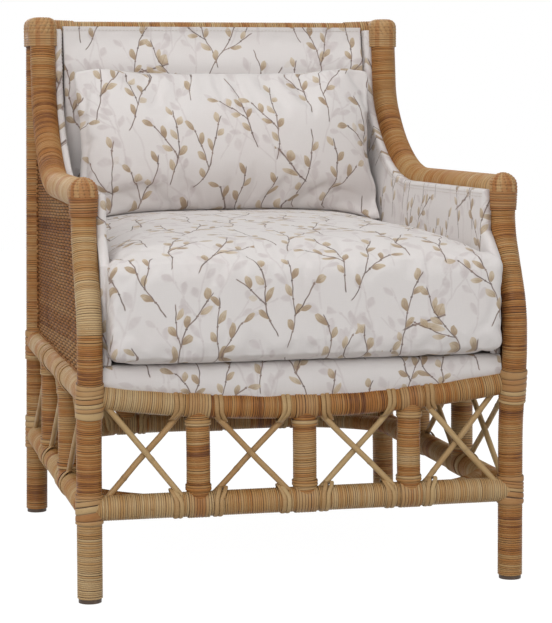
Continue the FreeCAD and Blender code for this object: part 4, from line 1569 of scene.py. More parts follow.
@dataclass
class WovenPanels(Assembly):
    """Fine weave of the sides and the back, tied to the poles along its edges."""
    weaver: float = 0.0048
    stake: float = 0.022
    climb: float = 0.042
    thickness: float = 0.0019
    crest: float = 0.0010
    dent: float = 0.0014
    step: float = 0.0042
    splay: float = 0.0075
    twist: float = 0.014
    border: float = 0.0026
    notch: float = 0.0082
    base_gap: float = 0.004
    weaver_shares: Bands = ((0.0, 1.0), (0.18, 0.24), (0.5, 0.0), (0.82, 0.24))
    notch_shares: Bands = ((0.0, 1.0), (0.14, 0.35), (0.5, 0.0), (0.86, 0.35))

    def outward(self, run: Array, level: Array) -> Array:
        """How far a side panel lies outside the arm's plane at a run and a level above the floor."""
        return run * (self.splay + self.twist * (0.88 - level))

    def weave(self, draft: Draft, place: Callable[[Array, Array, Array], Array], size: tuple[float, float],
              inside: Callable[[Array, Array], Array], flip: bool, climb: float = 0.0) -> None:
        """Add a sheet of weavers going over and under upright stakes.

        Args:
            draft: Where it is added.
            place: Turns across, up and height into points.
            size: Width and height of the sheet.
            inside: Says which places belong to it.
            flip: Whether its faces turn round.
            climb: Rise of the weavers towards its start.
        """
        rng = draft.rng
        across = np.arange(0, size[0] + self.step, self.step)
        rows = int((size[1] + size[0] * climb) / self.weaver) + 1
        shares, drops = np.array(self.weaver_shares).T
        up = (np.arange(rows)[:, None] + shares).ravel() * self.weaver
        drop = np.tile(drops, rows)[:, None]
        number = np.repeat(np.arange(rows), len(shares))[:, None]
        grid_x, grid_y = np.meshgrid(across, up)
        crest = smooth(-1, 1, np.cos((grid_x / self.stake + number) * math.pi)) * 2 - 1
        grid_y = grid_y - grid_x * climb
        sag = wander(rng, across, 0.06) * 0.0006
        points = place(grid_x, grid_y + sag, crest * self.crest - drop * self.dent + self.thickness)
        tone_rows = np.empty(rows)
        at = 0
        while at < rows:
            count = int(rng.integers(2, 9))
            tone_rows[at:at + count] = rng.uniform(0.15, 0.75)
            at += count
        tone_rows += rng.uniform(-0.15, 0.15, rows)
        tone = np.repeat(tone_rows, len(shares))[:, None] + wander(rng, across, 0.11) * 0.18
        rear = slice(None, None, 4)
        backing = place(grid_x[rear], grid_y[rear], np.full(grid_x[rear].shape, -self.thickness))
        # painted shade: dips darken rows between weavers and where a weaver passes under a stake; the backing sheet
        # gets painted shade of 0.4
        for sheet, part, tones, dips, turned in (
                (points, slice(None), tone, drop * 0.95 + np.clip(-crest, 0, 1) * 0.42, flip),
                (backing, rear, 0.6, 0.4, not flip)):
            x, y = grid_x[part], grid_y[part]
            keep = inside((x[:-1, :-1] + x[1:, 1:]) / 2, (y[:-1, :-1] + y[1:, 1:]) / 2)
            draft.grid(sheet, pair(y, x), tones, dips, keep=keep, flip=turned)

    def edging(self, draft: Draft, line: Array, facing: Array) -> None:
        """Add the bordering strand along a panel's edge, with painted shade in the notch between its turns.

        Args:
            draft: Where it is added.
            line: Its centre line.
            facing: Outward direction.
        """
        count = int(path_length(line) / self.notch)
        shares, drops = np.array(self.notch_shares).T
        places = (np.arange(count)[:, None] + shares).ravel() * self.notch
        deep = np.tile(drops, count)
        points, ways = along_path(line, places)
        out = unit(facing - ways * (ways @ facing)[:, None])
        rim = tube(points, np.cross(ways, out), out, self.border * (1 - 0.4 * deep), circle(8), 0.8)
        tone = np.repeat(draft.rng.uniform(0.2, 0.9, count), 4)[:, None]
        # painted shade: deep sets the dip in each notch between turns
        draft.grid(rim, pair(np.arange(9) * 0.001, places[:, None]), tone, deep[:, None] * 1.05, closed=True)

    def side(self, hand: Hand) -> None:
        """Make the woven side under an arm.

        Args:
            hand: Which side it is on.
        """
        plan, draft, mirror = self.plan, Draft(400 + hand.value), hand.mirror
        profile = plan.arm_profile()
        base = plan.seat_height + self.base_gap
        start = -plan.arm_setback - 0.012
        rear = (plan.post_depth - plan.arm_setback) / plan.arm_way()[1]

        def place(across: Array, up: Array, height: Array) -> Array:
            """Points of the panel at places across and up."""
            run, level = across + start, up + base
            return plan.arm_place(run, level, -self.outward(run, level) - height) * mirror

        def inside(across: Array, up: Array) -> Array:
            """Tell which places lie under the arm and between the posts.

            Args:
                across: Places across the sheet.
                up: Places up the sheet.

            Returns:
                Whether each place is kept.
            """
            run, level = across + start, up + base
            top = np.interp(run, profile[:, 0], profile[:, 1]) + plan.arm_height
            front = np.interp(level, (0.345, 0.420, 0.536), (-0.052, -0.050, 0.0)) - 0.006
            return (level < top) & (run > front) & (run < rear)

        self.weave(draft, place, (plan.post_depth + 0.03, plan.full_height - base), inside, hand is Hand.LEFT,
                   self.climb)
        out = -plan.arm_inward() * mirror

        def border(runs: Array, level: Array) -> None:
            """Edge the panel along a level or an upright line."""
            line = plan.arm_place(runs, level, -self.outward(runs, level) - 0.0030) * mirror
            self.edging(draft, line, out)

        border(np.linspace(-0.030, 0.640, 90), np.full(90, plan.seat_height + plan.rail_radius + 0.0005))
        line = plan.arm_line()
        arm, ways = along_path(line, np.linspace(0.03, 0.99, 120) * path_length(line))
        down = unit(np.cross(plan.arm_inward(), ways))
        under = arm + np.where(down[:, 2:] > 0, -down, down) * (plan.arm_radius + 0.0005)
        shift = self.outward((under - plan.arm_start()) @ plan.arm_way(), under[:, 2]) + 0.0024
        self.edging(draft, (under - plan.arm_inward() * shift[:, None]) * mirror, out)
        border(np.full(90, rear - plan.post_radius - 0.0005), np.linspace(0.335, 0.83, 90))
        self.finish(draft, f"woven_side_{hand.word}", self.wardrobe.woven, f"woven_panel_{hand.word}")

    def back(self) -> None:
        """Make the woven back between the back posts."""
        plan, draft = self.plan, Draft(420)
        base = plan.seat_height + self.base_gap
        half = plan.back_spacing / 2

        def place(across: Array, up: Array, height: Array) -> Array:
            """Points of the back panel at places across and up."""
            return np.stack([across - half, plan.back_y + height, up + base], -1)

        def inside(across: Array, up: Array) -> Array:
            """Tell which places lie between the posts and under the top rail.

            Args:
                across: Places across the sheet.
                up: Places up the sheet.

            Returns:
                Whether each place is kept.
            """
            level = up + base
            edge = half - plan.back_lean * level / plan.full_height
            return (np.abs(across - half) < edge) & (level < plan.top_rail_height)

        self.weave(draft, place, (plan.back_spacing, plan.top_rail_height - base), inside, True)
        ends = np.array([[0.03 - half, plan.back_y + 0.003, 0.0], [half - 0.03, plan.back_y + 0.003, 0.0]])
        for level in (plan.seat_height + plan.rail_radius, plan.top_rail_height - plan.top_rail_radius):
            self.edging(draft, between(*(ends + UP * level), 90), BACK)
        for hand in Hand:
            post = np.array([plan.back_axis(level) for level in np.linspace(0.335, 0.83, 90)]) * hand.mirror
            self.edging(draft, post - OUT * hand.value * plan.post_radius + BACK * 0.003, BACK)
        self.finish(draft, "woven_back", self.wardrobe.woven, "woven_panel_back")

    def build(self) -> None:
        """Make both sides and the back."""
        for hand in Hand:
            self.side(hand)
        self.back()


# ---------------------------------------------------------------- upholstery


def net(outline: Array, step: float) -> tuple[Array, list[list[int]], Array]:
    """Cut a flat outline into a net of small faces.

    Args:
        outline: Corners of the outline in order.
        step: Size of the net's cells.

    Returns:
        The flat points, the faces and how far each point lies from the outline.
    """
    work = bmesh.new()
    work.faces.new([work.verts.new((x, y, 0.0)) for x, y in outline])
    low, high = outline.min(0), outline.max(0)
    for axis in range(2):
        for place in np.arange(low[axis] + step * 0.5, high[axis], step):
            point, normal = [0.0, 0.0, 0.0], [0.0, 0.0, 0.0]
            point[axis], normal[axis] = place, 1.0
            bmesh.ops.bisect_plane(work, geom=work.verts[:] + work.edges[:] + work.faces[:], dist=1e-6,
                                   plane_co=point, plane_no=normal)
    bmesh.ops.triangulate(work, faces=[face for face in work.faces if len(face.verts) > 4])
    work.verts.index_update()
    points = np.array([vert.co[:2] for vert in work.verts])
    turn = -1 if sum(face.normal.z for face in work.faces) < 0 else 1
    faces = [[vert.index for vert in face.verts][::turn] for face in work.faces]
    work.free()
    best = np.full(len(points), np.inf)
    for start, run in zip(outline, np.roll(outline, -1, axis=0) - outline):
        share = np.clip(((points - start) @ run) / max(float(run @ run), 1e-12), 0, 1)
        best = np.minimum(best, np.linalg.norm(points - start - share[:, None] * run, axis=1))
    return points, faces, best


def quads(index: Array) -> Array:
    """Four-cornered faces between the points of a numbered grid."""
    return np.stack([index[:-1, :-1], index[:-1, 1:], index[1:, 1:], index[1:, :-1]], -1).reshape(-1, 4)


def flat_piece(name: str, points: Array, faces: list[list[int]], prints: Array) -> bpy.types.Object:
    """Make a piece from points and faces with its print laid out by point.

    Args:
        name: The piece's name.
        points: Points, one a row.
        faces: Point numbers of each face.
        prints: Each point's place on the cloth.

    Returns:
        The new piece.
    """
    mesh = bpy.data.meshes.new(name)
    mesh.from_pydata(points.tolist(), [], faces)
    mesh.update()
    corners = np.zeros(len(mesh.loops), int)
    mesh.loops.foreach_get("vertex_index", corners)
    mesh.uv_layers.new(name="print").data.foreach_set("uv", prints[corners].ravel())
    mesh.shade_smooth()
    return put_in_scene(name, mesh)


def read(mesh: bpy.types.Mesh, key: str = "co") -> Array:
    """Read the places, or the normals, of a mesh's points.

    Args:
        mesh: The mesh.
        key: Which vector of each point.

    Returns:
        The vectors, one a row.
    """
    flat = np.zeros(len(mesh.vertices) * 3)
    mesh.vertices.foreach_get(key, flat)
    return flat.reshape(-1, 3)


def write(mesh: bpy.types.Mesh, points: Array) -> None:
    """Put points back into a mesh."""
    mesh.vertices.foreach_set("co", points.ravel())
    mesh.update()


def ripple(points: Array, seed: int, scale: float) -> Array:
    """Make smooth unevenness in space between about -1 and 1.

    Args:
        points: Where it is read.
        seed: Its seed.
        scale: Size of its waves, in metres.

    Returns:
        One value for each point.
    """
    total = np.zeros(len(points))
    rng = np.random.default_rng(seed)
    for _ in range(7):
        way = unit(rng.normal(size=3))
        total += np.sin(points @ way * (TURN / (scale * rng.uniform(0.6, 1.6))) + rng.uniform(0, TURN))
    return total / 3.2


@dataclass
class Upholstery(Assembly):
    """Fixed padding: arm panels, inner back and the seat deck with its front border."""
    flange: float = 0.0125
    back_flange: float = 0.014
    flange_width: float = 0.015
    pad: float = 0.0030
    pad_rear: float = 0.3423
    back_depth: float = 0.034
    back_top: float = 0.865
    back_slope: float = 0.058
    front_gap: float = -0.005
    corner_height: float = 0.496
    setback_height: float = 0.536
    mesh_step: float = 0.0055
    stitch: float = 0.0036
    stitch_gap: float = 0.0062
    seams: tuple[float, float] = (0.0062, 0.0112)
    seam_depth: float = 0.0011
    seam_width: float = 0.0016
    deck_half: float = 0.3049
    deck_rear: float = 0.3449
    deck_reach: float = 0.0120
    deck_round: float = 0.012
    deck_rail_gap: float = 0.0135
    deck_bulge: float = 0.0022
    deck_lip: float = 0.004
    deck_depth: float = 0.028
    wave_height: float = 0.0012
    pucker_height: float = 0.0007
    rear_sink: float = -0.0030

    def run_at(self, y: float) -> float:
        """Distance along the arm's plane at a place from front to rear."""
        return (y - self.plan.arm_start()[1]) / self.plan.arm_way()[1]

    def arm_outline(self) -> Array:
        """Draw the arm panel's outline.

        Returns:
            Rows of run and height.
        """
        plan = self.plan
        rear, front = self.run_at(self.pad_rear), self.run_at(plan.front_y + self.front_gap)
        top = plan.arm_profile() + [0.0, plan.arm_height]
        top = top[top[:, 0] < rear - 0.002]
        keep = [top[0]]
        for row in top[1:]:
            if np.linalg.norm(row - keep[-1]) > 0.009:
                keep.append(row)
        keep[-1] = top[-1]
        return np.array([*keep, [rear, keep[-1][1]], [rear, plan.deck_top], [front, plan.deck_top],
                         [front, self.corner_height], [0.0, self.setback_height]])[::-1]

    def arm(self, hand: Hand) -> None:
        """Make one padded arm panel with its stitched flange.

        Args:
            hand: Which side it is on.
        """
        plan, mirror, seed = self.plan, hand.mirror, 30 if hand is Hand.RIGHT else 40
        name = f"arm_panel_{hand.word}"
        outline = self.arm_outline()
        flat, faces, edge = net(outline, self.mesh_step)
        crown = smooth(self.flange_width - 0.003, self.flange_width + 0.034, edge)
        wave = ripple(np.c_[flat, np.zeros(len(flat))], seed, 0.16)
        pucker = ripple(np.c_[flat, np.ones(len(flat))], seed + 10, 0.022)
        height = (self.flange + self.pad * crown + self.wave_height * wave * crown
                  + self.pucker_height * pucker * bell(edge - self.flange_width - 0.004, 0.007))
        for seam in self.seams:
            height -= self.seam_depth * bell(edge - seam, self.seam_width)
        height = np.minimum(height, self.flange + self.pad + 0.0014)
        height = height * (0.72 + 0.28 * smooth(-0.003, 0.0055, edge))

        def place(row: Array, lift: object) -> Array:
            """Points at a height over the arm's pole."""
            return plan.arm_place(row[:, 0], row[:, 1], plan.arm_radius + lift) * mirror

        self.sheet_piece(name, place(flat, height), place(flat, self.rear_sink), faces,
                         flat + [0.11 * hand.value, 0.05], hand is Hand.RIGHT, f"arm_pad_{hand.word}", 0.5)
        self.stitching(f"{name}_stitches", outline[::-1][:-4], self.seams,
                       lambda row: place(row, self.flange - 0.0002), plan.arm_inward() * mirror)

    def sheet_piece(self, name: str, face: Array, rear: Array, faces: list[list[int]], prints: Array, flip: bool,
                    node: str, fill: float) -> None:
        """Join a padded face to its flat rear round the outline.

        Args:
            name: The piece's name.
            face: Points of the padded face.
            rear: Points of the rear.
            faces: Faces of the net.
            prints: Each point's place on the cloth.
            flip: Whether its faces turn round.
            node: Node it stands for.
            fill: Not used.
        """
        count = len(face)
        front_faces = [part[::-1] if flip else part for part in faces]
        rear_faces = [[index + count for index in part[::-1]] for part in front_faces]
        edges = dict.fromkeys(edge for part in front_faces for edge in zip(part, part[1:] + part[:1]))
        rims = [[second, first, first + count, second + count] for first, second in edges
                if (second, first) not in edges]
        outward = unit(prints - prints.mean(0)) * np.linalg.norm(face - rear, axis=1, keepdims=True)
        piece = flat_piece(name, np.vstack([face, rear]), front_faces + rear_faces + rims,
                           np.vstack([prints, prints + outward]))
        self.wardrobe.dress(piece, self.wardrobe.linen)
        settle(piece, "frame", node)

    def stitching(self, name: str, line: Array, insets: Sequence[float], place: Callable[[Array], Array],
                  facing: Array) -> None:
        """Sew rows of short stitches a little inside a line.

        Args:
            name: The piece's name.
            line: Flat line, the cloth on its right.
            insets: How far inside each row runs.
            place: Turns flat places into points.
            facing: Outward direction.
        """
        draft = Draft(len(name) + sum(map(ord, name)) % 97)
        way = unit(np.gradient(line, axis=0))
        shares = np.linspace(0, 1, 4)[:, None]
        for inset in insets:
            path = place(line + pair(way[:, 1], -way[:, 0]) * inset)
            length = path_length(path)
            count = int(length / self.stitch_gap)
            starts, ways = along_path(path, (np.arange(count) + 0.2) * length / count)
            for start, heading in zip(starts, ways):
                row = start + heading * self.stitch * shares + facing * (np.sin(shares * math.pi) * 0.0004)
                draft.strand(row, 0.00055, 0.8, facing, 0.5, 5)
        self.finish(draft, name, self.wardrobe.thread)

    def inner_back(self) -> None:
        """Make the padded inner back with its flat stitched edge along the top."""
        plan, rear, high = self.plan, self.pad_rear, self.back_top
        half = float(plan.arm_place(np.array([self.run_at(rear)]), np.array([0.5]),
                                    plan.arm_radius + self.flange + self.pad)[0, 0])
        outline = np.array([[-half, plan.deck_top], [half, plan.deck_top], [half, high], [-half, high]])
        flat, faces = net(outline, self.mesh_step)[:2]
        down = high - flat[:, 1]
        crown = smooth(self.flange_width - 0.002, self.flange_width + self.back_slope, down)
        rounded_side = smooth(-0.004, 0.012, half - np.abs(flat[:, 0]))
        wave = ripple(np.c_[flat, np.zeros(len(flat))], 60, 0.2)
        pucker = ripple(np.c_[flat * [1.0, 0.4], np.ones(len(flat))], 70, 0.024)
        depth = self.back_flange + (self.back_depth - self.back_flange) * crown * (0.75 + 0.25 * rounded_side)
        depth += 0.0015 * (wave - 1) * crown + 0.001 * pucker * bell(down - self.flange_width - 0.006, 0.009)
        depth -= self.seam_depth * bell(down - self.seams[0], self.seam_width)

        def place(row: Array, thick: object) -> Array:
            """Points at a thickness over the pad's rear."""
            return np.stack([row[:, 0], np.broadcast_to(rear - thick, len(row)), row[:, 1]], -1)

        self.sheet_piece("inner_back_panel", place(flat, np.minimum(depth, self.back_depth)), place(flat, 0.0),
                         faces, flat + [0.31, 0.02], False, "back_pad", 0.6)
        self.stitching("inner_back_stitches", pair(np.linspace(-half + 0.004, half - 0.004, 100), high),
                       self.seams[:1], lambda row: place(row, self.back_flange), -BACK)

    def deck(self) -> None:
        """Make the seat deck: a flat top that turns down into a border along the sagging rail."""
        plan, top, bend = self.plan, self.plan.deck_top, self.deck_round
        front, columns = plan.front_y - self.deck_reach, 150
        x = np.linspace(-self.deck_half, self.deck_half, columns)
        drop = top - (plan.sag_height(x) + self.deck_rail_gap)
        rows = [(self.deck_rear + (front + bend - self.deck_rear) * place, top - 0.0004)
                for place in np.linspace(0, 1, 46)]
        rows += [(front + bend - bend * math.sin(angle), top - bend + bend * math.cos(angle) - 0.0004)
                 for angle in np.linspace(0, math.pi / 2, 9)[1:]]
        turned = len(rows)
        rows += [(front - math.sin(place * math.pi) * self.deck_bulge + self.deck_lip * place ** 3,
                  top - 0.0124 - (drop - bend) * place) for place in np.linspace(0, 1, 16)[1:]]
        points = np.array([np.stack(np.broadcast_arrays(x, y, z), -1) for y, z in rows])
        wave = ripple(points.reshape(-1, 3) * [1.0, 0.2, 0.35], 80, 0.05).reshape(points.shape[:2])
        points[:, :, 1] -= np.where(points[:, :, 1] < front + 0.01, self.wave_height * wave, 0.0)
        run = runs_along(points[:, columns // 2])
        under = points.copy()
        under[:turned, :, 2] = np.minimum(points[:turned, :, 2] - 0.002, top - self.deck_depth)
        under[:, :, 1] = np.maximum(points[:, :, 1], front + 0.02)
        count = points.shape[0] * columns
        index = np.arange(count).reshape(points.shape[:2])
        sheet = quads(index)
        rim = np.concatenate([index[0, ::-1], index[1:, 0], index[-1, 1:], index[-2::-1, -1]])
        edges = np.stack([rim[:-1], rim[1:]], -1)
        faces = np.concatenate([sheet[:, ::-1], sheet + count, np.hstack([edges, edges[:, ::-1] + count])])
        prints = pair(x + 0.57, (1.0 - run)[:, None]).reshape(-1, 2)
        piece = flat_piece("seat_deck_cover", np.vstack([points.reshape(-1, 3), under.reshape(-1, 3)]),
                           faces.tolist(), np.vstack([prints, prints]))
        self.wardrobe.dress(piece, self.wardrobe.linen, self.wardrobe.dust)
        marks = np.zeros(len(faces), int)
        marks[len(sheet):2 * len(sheet)] = 1
        piece.data.polygons.foreach_set("material_index", marks)
        settle(piece, "frame", "seat_deck")

    def build(self) -> None:
        """Make the fixed upholstery."""
        for hand in Hand:
            self.arm(hand)
        self.inner_back()
        self.deck()


def puff(piece: bpy.types.Object, pressure: float, cap: float, held: Array, spare: float, bend: float,
         stretch: float) -> None:
    """Blow a closed piece up as cloth and keep the result.

    Args:
        piece: The closed piece.
        pressure: Pressure inside.
        cap: How far a point may move.
        held: Which points are held.
        spare: Share by which the cloth is cut larger.
        bend: Stiffness against bending.
        stretch: Stiffness against stretching.
    """
    frames = 20
    rest = read(piece.data)
    piece.vertex_groups.new(name="held").add(np.nonzero(held)[0].tolist(), 1.0, "REPLACE")
    cloth = piece.modifiers.new("cloth", "CLOTH")
    for key, value in (("quality", 6), ("mass", 0.3), ("tension_stiffness", stretch),
                       ("compression_stiffness", stretch), ("shear_stiffness", stretch * 0.5),
                       ("bending_stiffness", bend), ("use_pressure", True), ("uniform_pressure_force", pressure),
                       ("vertex_group_mass", "held"), ("shrink_min", -spare)):
        setattr(cloth.settings, key, value)
    cloth.settings.effector_weights.gravity = 0.0
    cloth.collision_settings.use_collision = False
    cloth.point_cache.frame_start, cloth.point_cache.frame_end = 1, frames
    scene = bpy.context.scene
    for number in range(1, frames + 1):
        scene.frame_set(number)
    move = read(piece.evaluated_get(bpy.context.evaluated_depsgraph_get()).data) - rest
    piece.modifiers.remove(cloth)
    piece.vertex_groups.clear()
    scene.frame_set(1)
    far = np.maximum(np.linalg.norm(move, axis=1, keepdims=True), 1e-9)
    write(piece.data, rest + move * (cap * np.tanh(far / cap) / far))


def subdivide(piece: bpy.types.Object) -> None:
    """Apply a subdivision surface to a piece.

    Args:
        piece: The piece.
    """
    piece.modifiers.new("smooth", "SUBSURF").levels = 1
    shown = piece.evaluated_get(bpy.context.evaluated_depsgraph_get())
    old, piece.data = piece.data, bpy.data.meshes.new_from_object(shown)
    piece.modifiers.clear()
    bpy.data.meshes.remove(old)
    piece.data.name = piece.name
    piece.data.shade_smooth()


def box_net(counts: tuple[int, int, int]) -> tuple[Array, Array]:
    """Cover a box from -1 to 1 with a net of even cells.

    Args:
        counts: Cells along each axis.

    Returns:
        The points and the four-cornered faces, facing outward.
    """
    shape = tuple(count + 1 for count in counts)
    places = np.indices(shape)
    shell = np.any([(place == 0) | (place == count) for place, count in zip(places, counts)], axis=0)
    number = np.full(shape, -1)
    number[shell] = np.arange(shell.sum())
    points = np.stack([place[shell] / count * 2 - 1 for place, count in zip(places, counts)], -1)
    faces = []
    for axis in range(3):
        for end in (0, counts[axis]):
            sheet = quads(np.take(number, end, axis=axis))[:, [0, 3, 2, 1]]
            faces.append(sheet if (end > 0) != (axis == 1) else sheet[:, ::-1])
    return points, np.concatenate(faces)


@dataclass
class SeatCushion(Assembly):
    """Loose boxed seat cushion: crowned top, front ears past the posts, seams held and faces blown up."""
    front_inset: float = 0.0030
    ear_half: float = 0.2972
    ear_end: float = -0.3427
    ear_run: float = 0.022
    side_gap: float = 0.0030
    side_wall: float = 0.014
    side_top: float = 0.4985
    crown: float = 0.042
    edge: float = 0.0135
    nose_lift: float = 0.0085
    nose_width: float = 0.055
    pucker: float = 0.0006
    cell: float = 0.0066
    pressure: float = 3.0
    cap: float = 0.0065
    spare: float = 0.03
    seam_width: float = 0.0026
    seam_depth: float = 0.0011
    rest_gap: float = 0.0006
    swell_places: tuple = (-0.387, -0.357, -0.3427, -0.3207, -0.17, 0.04, 0.25, 0.276, 0.306)
    swell_shares: tuple = (0.08, 0.30, 0.42, 0.58, 0.9, 1.0, 0.95, 0.6, 0.2)

    def half(self, y: Array) -> Array:
        """Find the half width between the arm panels, wider at the ears.

        Args:
            y: Places from front to rear.

        Returns:
            The half widths.
        """
        plan = self.plan
        run = (y - plan.arm_start()[1]) / plan.arm_way()[1]
        inner = plan.arm_place(run, np.full(np.shape(run), 0.5), plan.arm_radius + self.side_wall)[..., 0]
        inner = inner - self.side_gap
        return inner + (self.ear_half - inner) * (1 - smooth(self.ear_end, self.ear_end + self.ear_run, y))

    def shape(self, box: Array, low: Array, high: Array) -> Array:
        """Turn points of a box from -1 to 1 into the cushion's resting shape.

        Args:
            box: The points.
            low: Low corner of the cushion's room.
            high: High corner of the cushion's room.

        Returns:
            The shaped points.
        """
        front, rear = low[1] + self.front_inset, high[1] - 0.001
        size = np.array([self.ear_half, (rear - front) / 2, (self.side_top - low[2]) / 2])
        points = box * size
        inner = np.clip(points, self.edge - size, size - self.edge)
        away = points - inner
        far = np.linalg.norm(away, axis=1, keepdims=True)
        x, y, z = (inner + away / np.maximum(far, 1e-9) * np.minimum(far, self.edge) + [0.0, 0.0, size[2]]).T
        level = z / (2 * size[2])
        nose = bell(y + size[1], self.nose_width) * (1 - smooth(0.0, 0.9, level))
        y = y + (front + rear) / 2
        across = x / self.ear_half
        rise = (1 - np.clip(np.abs(across), 0, 1) ** 3.2) ** 0.42 * smooth(0.35, 1.0, level)
        lift = self.crown * np.interp(y, self.swell_places, self.swell_shares) * rise
        return np.stack([across * self.half(y), y, z + low[2] + self.rest_gap + lift + nose * self.nose_lift], -1)

    def build(self) -> None:
        """Make the cushion, blow it up between its seams and lay the print over it."""
        low, high = (np.array(corner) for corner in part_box("seat_cushion"))
        room = np.array([2 * self.ear_half, high[1] - low[1], self.side_top - low[2]])
        box, faces = box_net(tuple(int(round(size / self.cell)) for size in room))
        seam = np.sort((1 - np.abs(box)) * room / 2, axis=1)[:, 1]
        start = self.shape(box, low, high)
        side = (np.abs(box[:, 0]) > 0.999) & (np.abs(box[:, 1]) < 0.96) & (np.abs(box[:, 2]) < 0.99)
        prints = pair(np.where(side, np.sign(box[:, 0]) * (start[:, 1] + 0.62), start[:, 0]),
                      start[:, 2] + np.where(side, 0.0, start[:, 1] - low[1])) + [0.02, 0.4]
        piece = flat_piece("seat_cushion_cover", start, faces.tolist(), prints)
        puff(piece, self.pressure, self.cap, seam < self.edge * 0.45, self.spare, 0.5, 20.0)
        points = read(piece.data)
        points[:, 2] = np.maximum(points[:, 2], low[2] + self.rest_gap)
        points[:, 1] = np.clip(points[:, 1], low[1] - 0.001, high[1])
        wide = self.half(points[:, 1]) + 0.0018
        points[:, 0] = np.clip(points[:, 0], -wide, wide)
        write(piece.data, points)
        points, normals = read(piece.data), read(piece.data, "normal")
        groove = bell(seam - self.edge * 0.62, self.seam_width) * (np.abs(box[:, 2]) > 0.86)
        pucker = ripple(points * [1.0, 1.0, 0.25], 20, 0.021) * bell(seam, 0.022) * self.pucker
        write(piece.data, points - normals * (groove * self.seam_depth + pucker)[:, None])
        subdivide(piece)
        self.wardrobe.dress(piece, self.wardrobe.seat_linen)
        settle(piece, "seat_cushion", "seat_cushion")


@dataclass
class LumbarPillow(Assembly):
    """Knife-edge pillow leaning on the inner back, blown up between two flat faces."""
    half_width: float = 0.268
    half_height: float = 0.130
    half_thickness: float = 0.075
    drawn: tuple[float, float] = (0.011, 0.007)
    ear: tuple[float, float] = (0.004, 0.028)
    corner: float = 0.009
    rim: float = 0.0022
    tilt: float = math.radians(9)
    step: float = 0.0056
    pressure: float = 4.0
    cap: float = 0.024
    spare: float = 0.065
    flatter: float = 0.86
    pucker: float = 0.0016
    gap: float = 0.0004
    hang: float = 0.016
    hang_places: int = 33

    def fullness(self, x: Array, z: Array) -> Array:
        """Half thickness at places from -1 to 1 across the pillow."""
        across = 1 - np.abs(x) ** 3.2
        return (across * (1 - z ** 2)) ** 0.52 * (0.86 + 0.14 * across) * self.half_thickness + self.rim

    def build(self) -> None:
        """Make the pillow, blow it up, lean it and lay the print on it."""
        columns, rows = (int(2 * half / self.step) + 1 for half in (self.half_width, self.half_height))
        x, z = np.meshgrid(np.linspace(-1, 1, columns), np.linspace(-1, 1, rows))
        edge = (np.abs(x) > 0.9999) | (np.abs(z) > 0.9999)
        thick = np.where(edge, 0.0, self.fullness(x, z) * self.flatter)
        corner = (np.abs(x) * np.abs(z)) ** 10 * np.where(z > 0, 1.0, 0.3) * self.corner
        ear = np.abs(x) ** 8 * smooth(-0.62, -1.0, z)
        px = (x * (self.half_width - self.drawn[0] * (1 - z ** 2)) - np.sign(x) * corner
              + np.sign(x) * ear * self.ear[0])
        pz = z * (self.half_height - self.drawn[1] * (1 - x ** 2)) - np.sign(z) * corner
        front, back = (np.stack([px, depth - ear * self.ear[1], pz], -1) for depth in (-thick, thick))
        inside = ~edge
        index_front = np.arange(rows * columns).reshape(rows, columns)
        index_back = index_front.copy()
        index_back[inside] = rows * columns + np.arange(inside.sum())
        flat = pair(px, pz)
        piece = flat_piece("lumbar_pillow_cover", np.vstack([front.reshape(-1, 3), back[inside]]),
                           np.vstack([quads(index_front), quads(index_back)[:, ::-1]]).tolist(),
                           np.vstack([flat.reshape(-1, 2), flat[inside] * [-1.0, 1.0]]) + [0.83, 0.47])
        held = np.concatenate([edge.ravel(), edge[inside]])
        puff(piece, self.pressure, self.cap, held, self.spare, 0.3, 12.0)
        points, normals = read(piece.data), read(piece.data, "normal")
        rim_gap = np.minimum((1 - np.abs(x)) * self.half_width, (1 - np.abs(z)) * self.half_height)
        rim_gap = np.concatenate([rim_gap.ravel(), rim_gap[inside]])
        pucker = ripple(points * [1.0, 0.2, 1.0], 90, 0.024) * bell(rim_gap, 0.03) * self.pucker
        write(piece.data, points + normals * (pucker * (rim_gap > 0.001))[:, None])
        subdivide(piece)
        x, y, z = read(piece.data).T
        y = y * min(1.0, self.half_thickness / np.abs(y).max())
        cosine, sine = math.cos(self.tilt), math.sin(self.tilt)
        points = np.stack([x, y * cosine + z * sine, z * cosine - y * sine], -1)
        points[:, 1:] += np.array(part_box("lumbar_pillow")[1])[1:] - points[:, 1:].max(0)
        least, hang = self.clearance(points)
        points[:, 2] -= least - self.gap + hang * smooth(-0.2, -1.0, z / self.half_height)
        write(piece.data, points)
        self.wardrobe.dress(piece, self.wardrobe.pillow_linen)
        settle(piece, "lumbar_pillow", "lumbar_pillow")

    def clearance(self, points: Array) -> tuple[float, Array]:
        """Find how far the pillow can sink onto the seat cushion.

        Args:
            points: Points of the pillow.

        Returns:
            The least height above the cushion, and how much further each point's own part can hang.
        """
        cushion = BVHTree.FromObject(bpy.data.objects["seat_cushion_cover"], bpy.context.evaluated_depsgraph_get())
        places = np.linspace(-self.half_width, self.half_width, self.hang_places)
        heights = np.full(len(places), math.inf)
        for point in points[points[:, 2] < points[:, 2].min() + 0.08]:
            hit = cushion.ray_cast(Vector((point[0], point[1], 1.0)), Vector((0.0, 0.0, -1.0)))[0]
            if hit is not None:
                near = int(np.argmin(np.abs(places - point[0])))
                heights[near] = min(heights[near], point[2] - hit.z)
        least = float(heights.min())
        return least, np.interp(points[:, 0], places, np.clip(heights - least, 0.0, self.hang))


@dataclass
class Understructure(Assembly):
    """Slats and glides kept as they are, with their finishes."""

    def build(self) -> None:
        """Dress the slats and the glides."""
        for name, finish in (("seat_slats", self.wardrobe.wood), ("glides", self.wardrobe.foot)):
            self.wardrobe.dress(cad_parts[name], finish)
            log.info("%s dressed", name)


# ---------------------------------------------------------------- stage, lights and camera


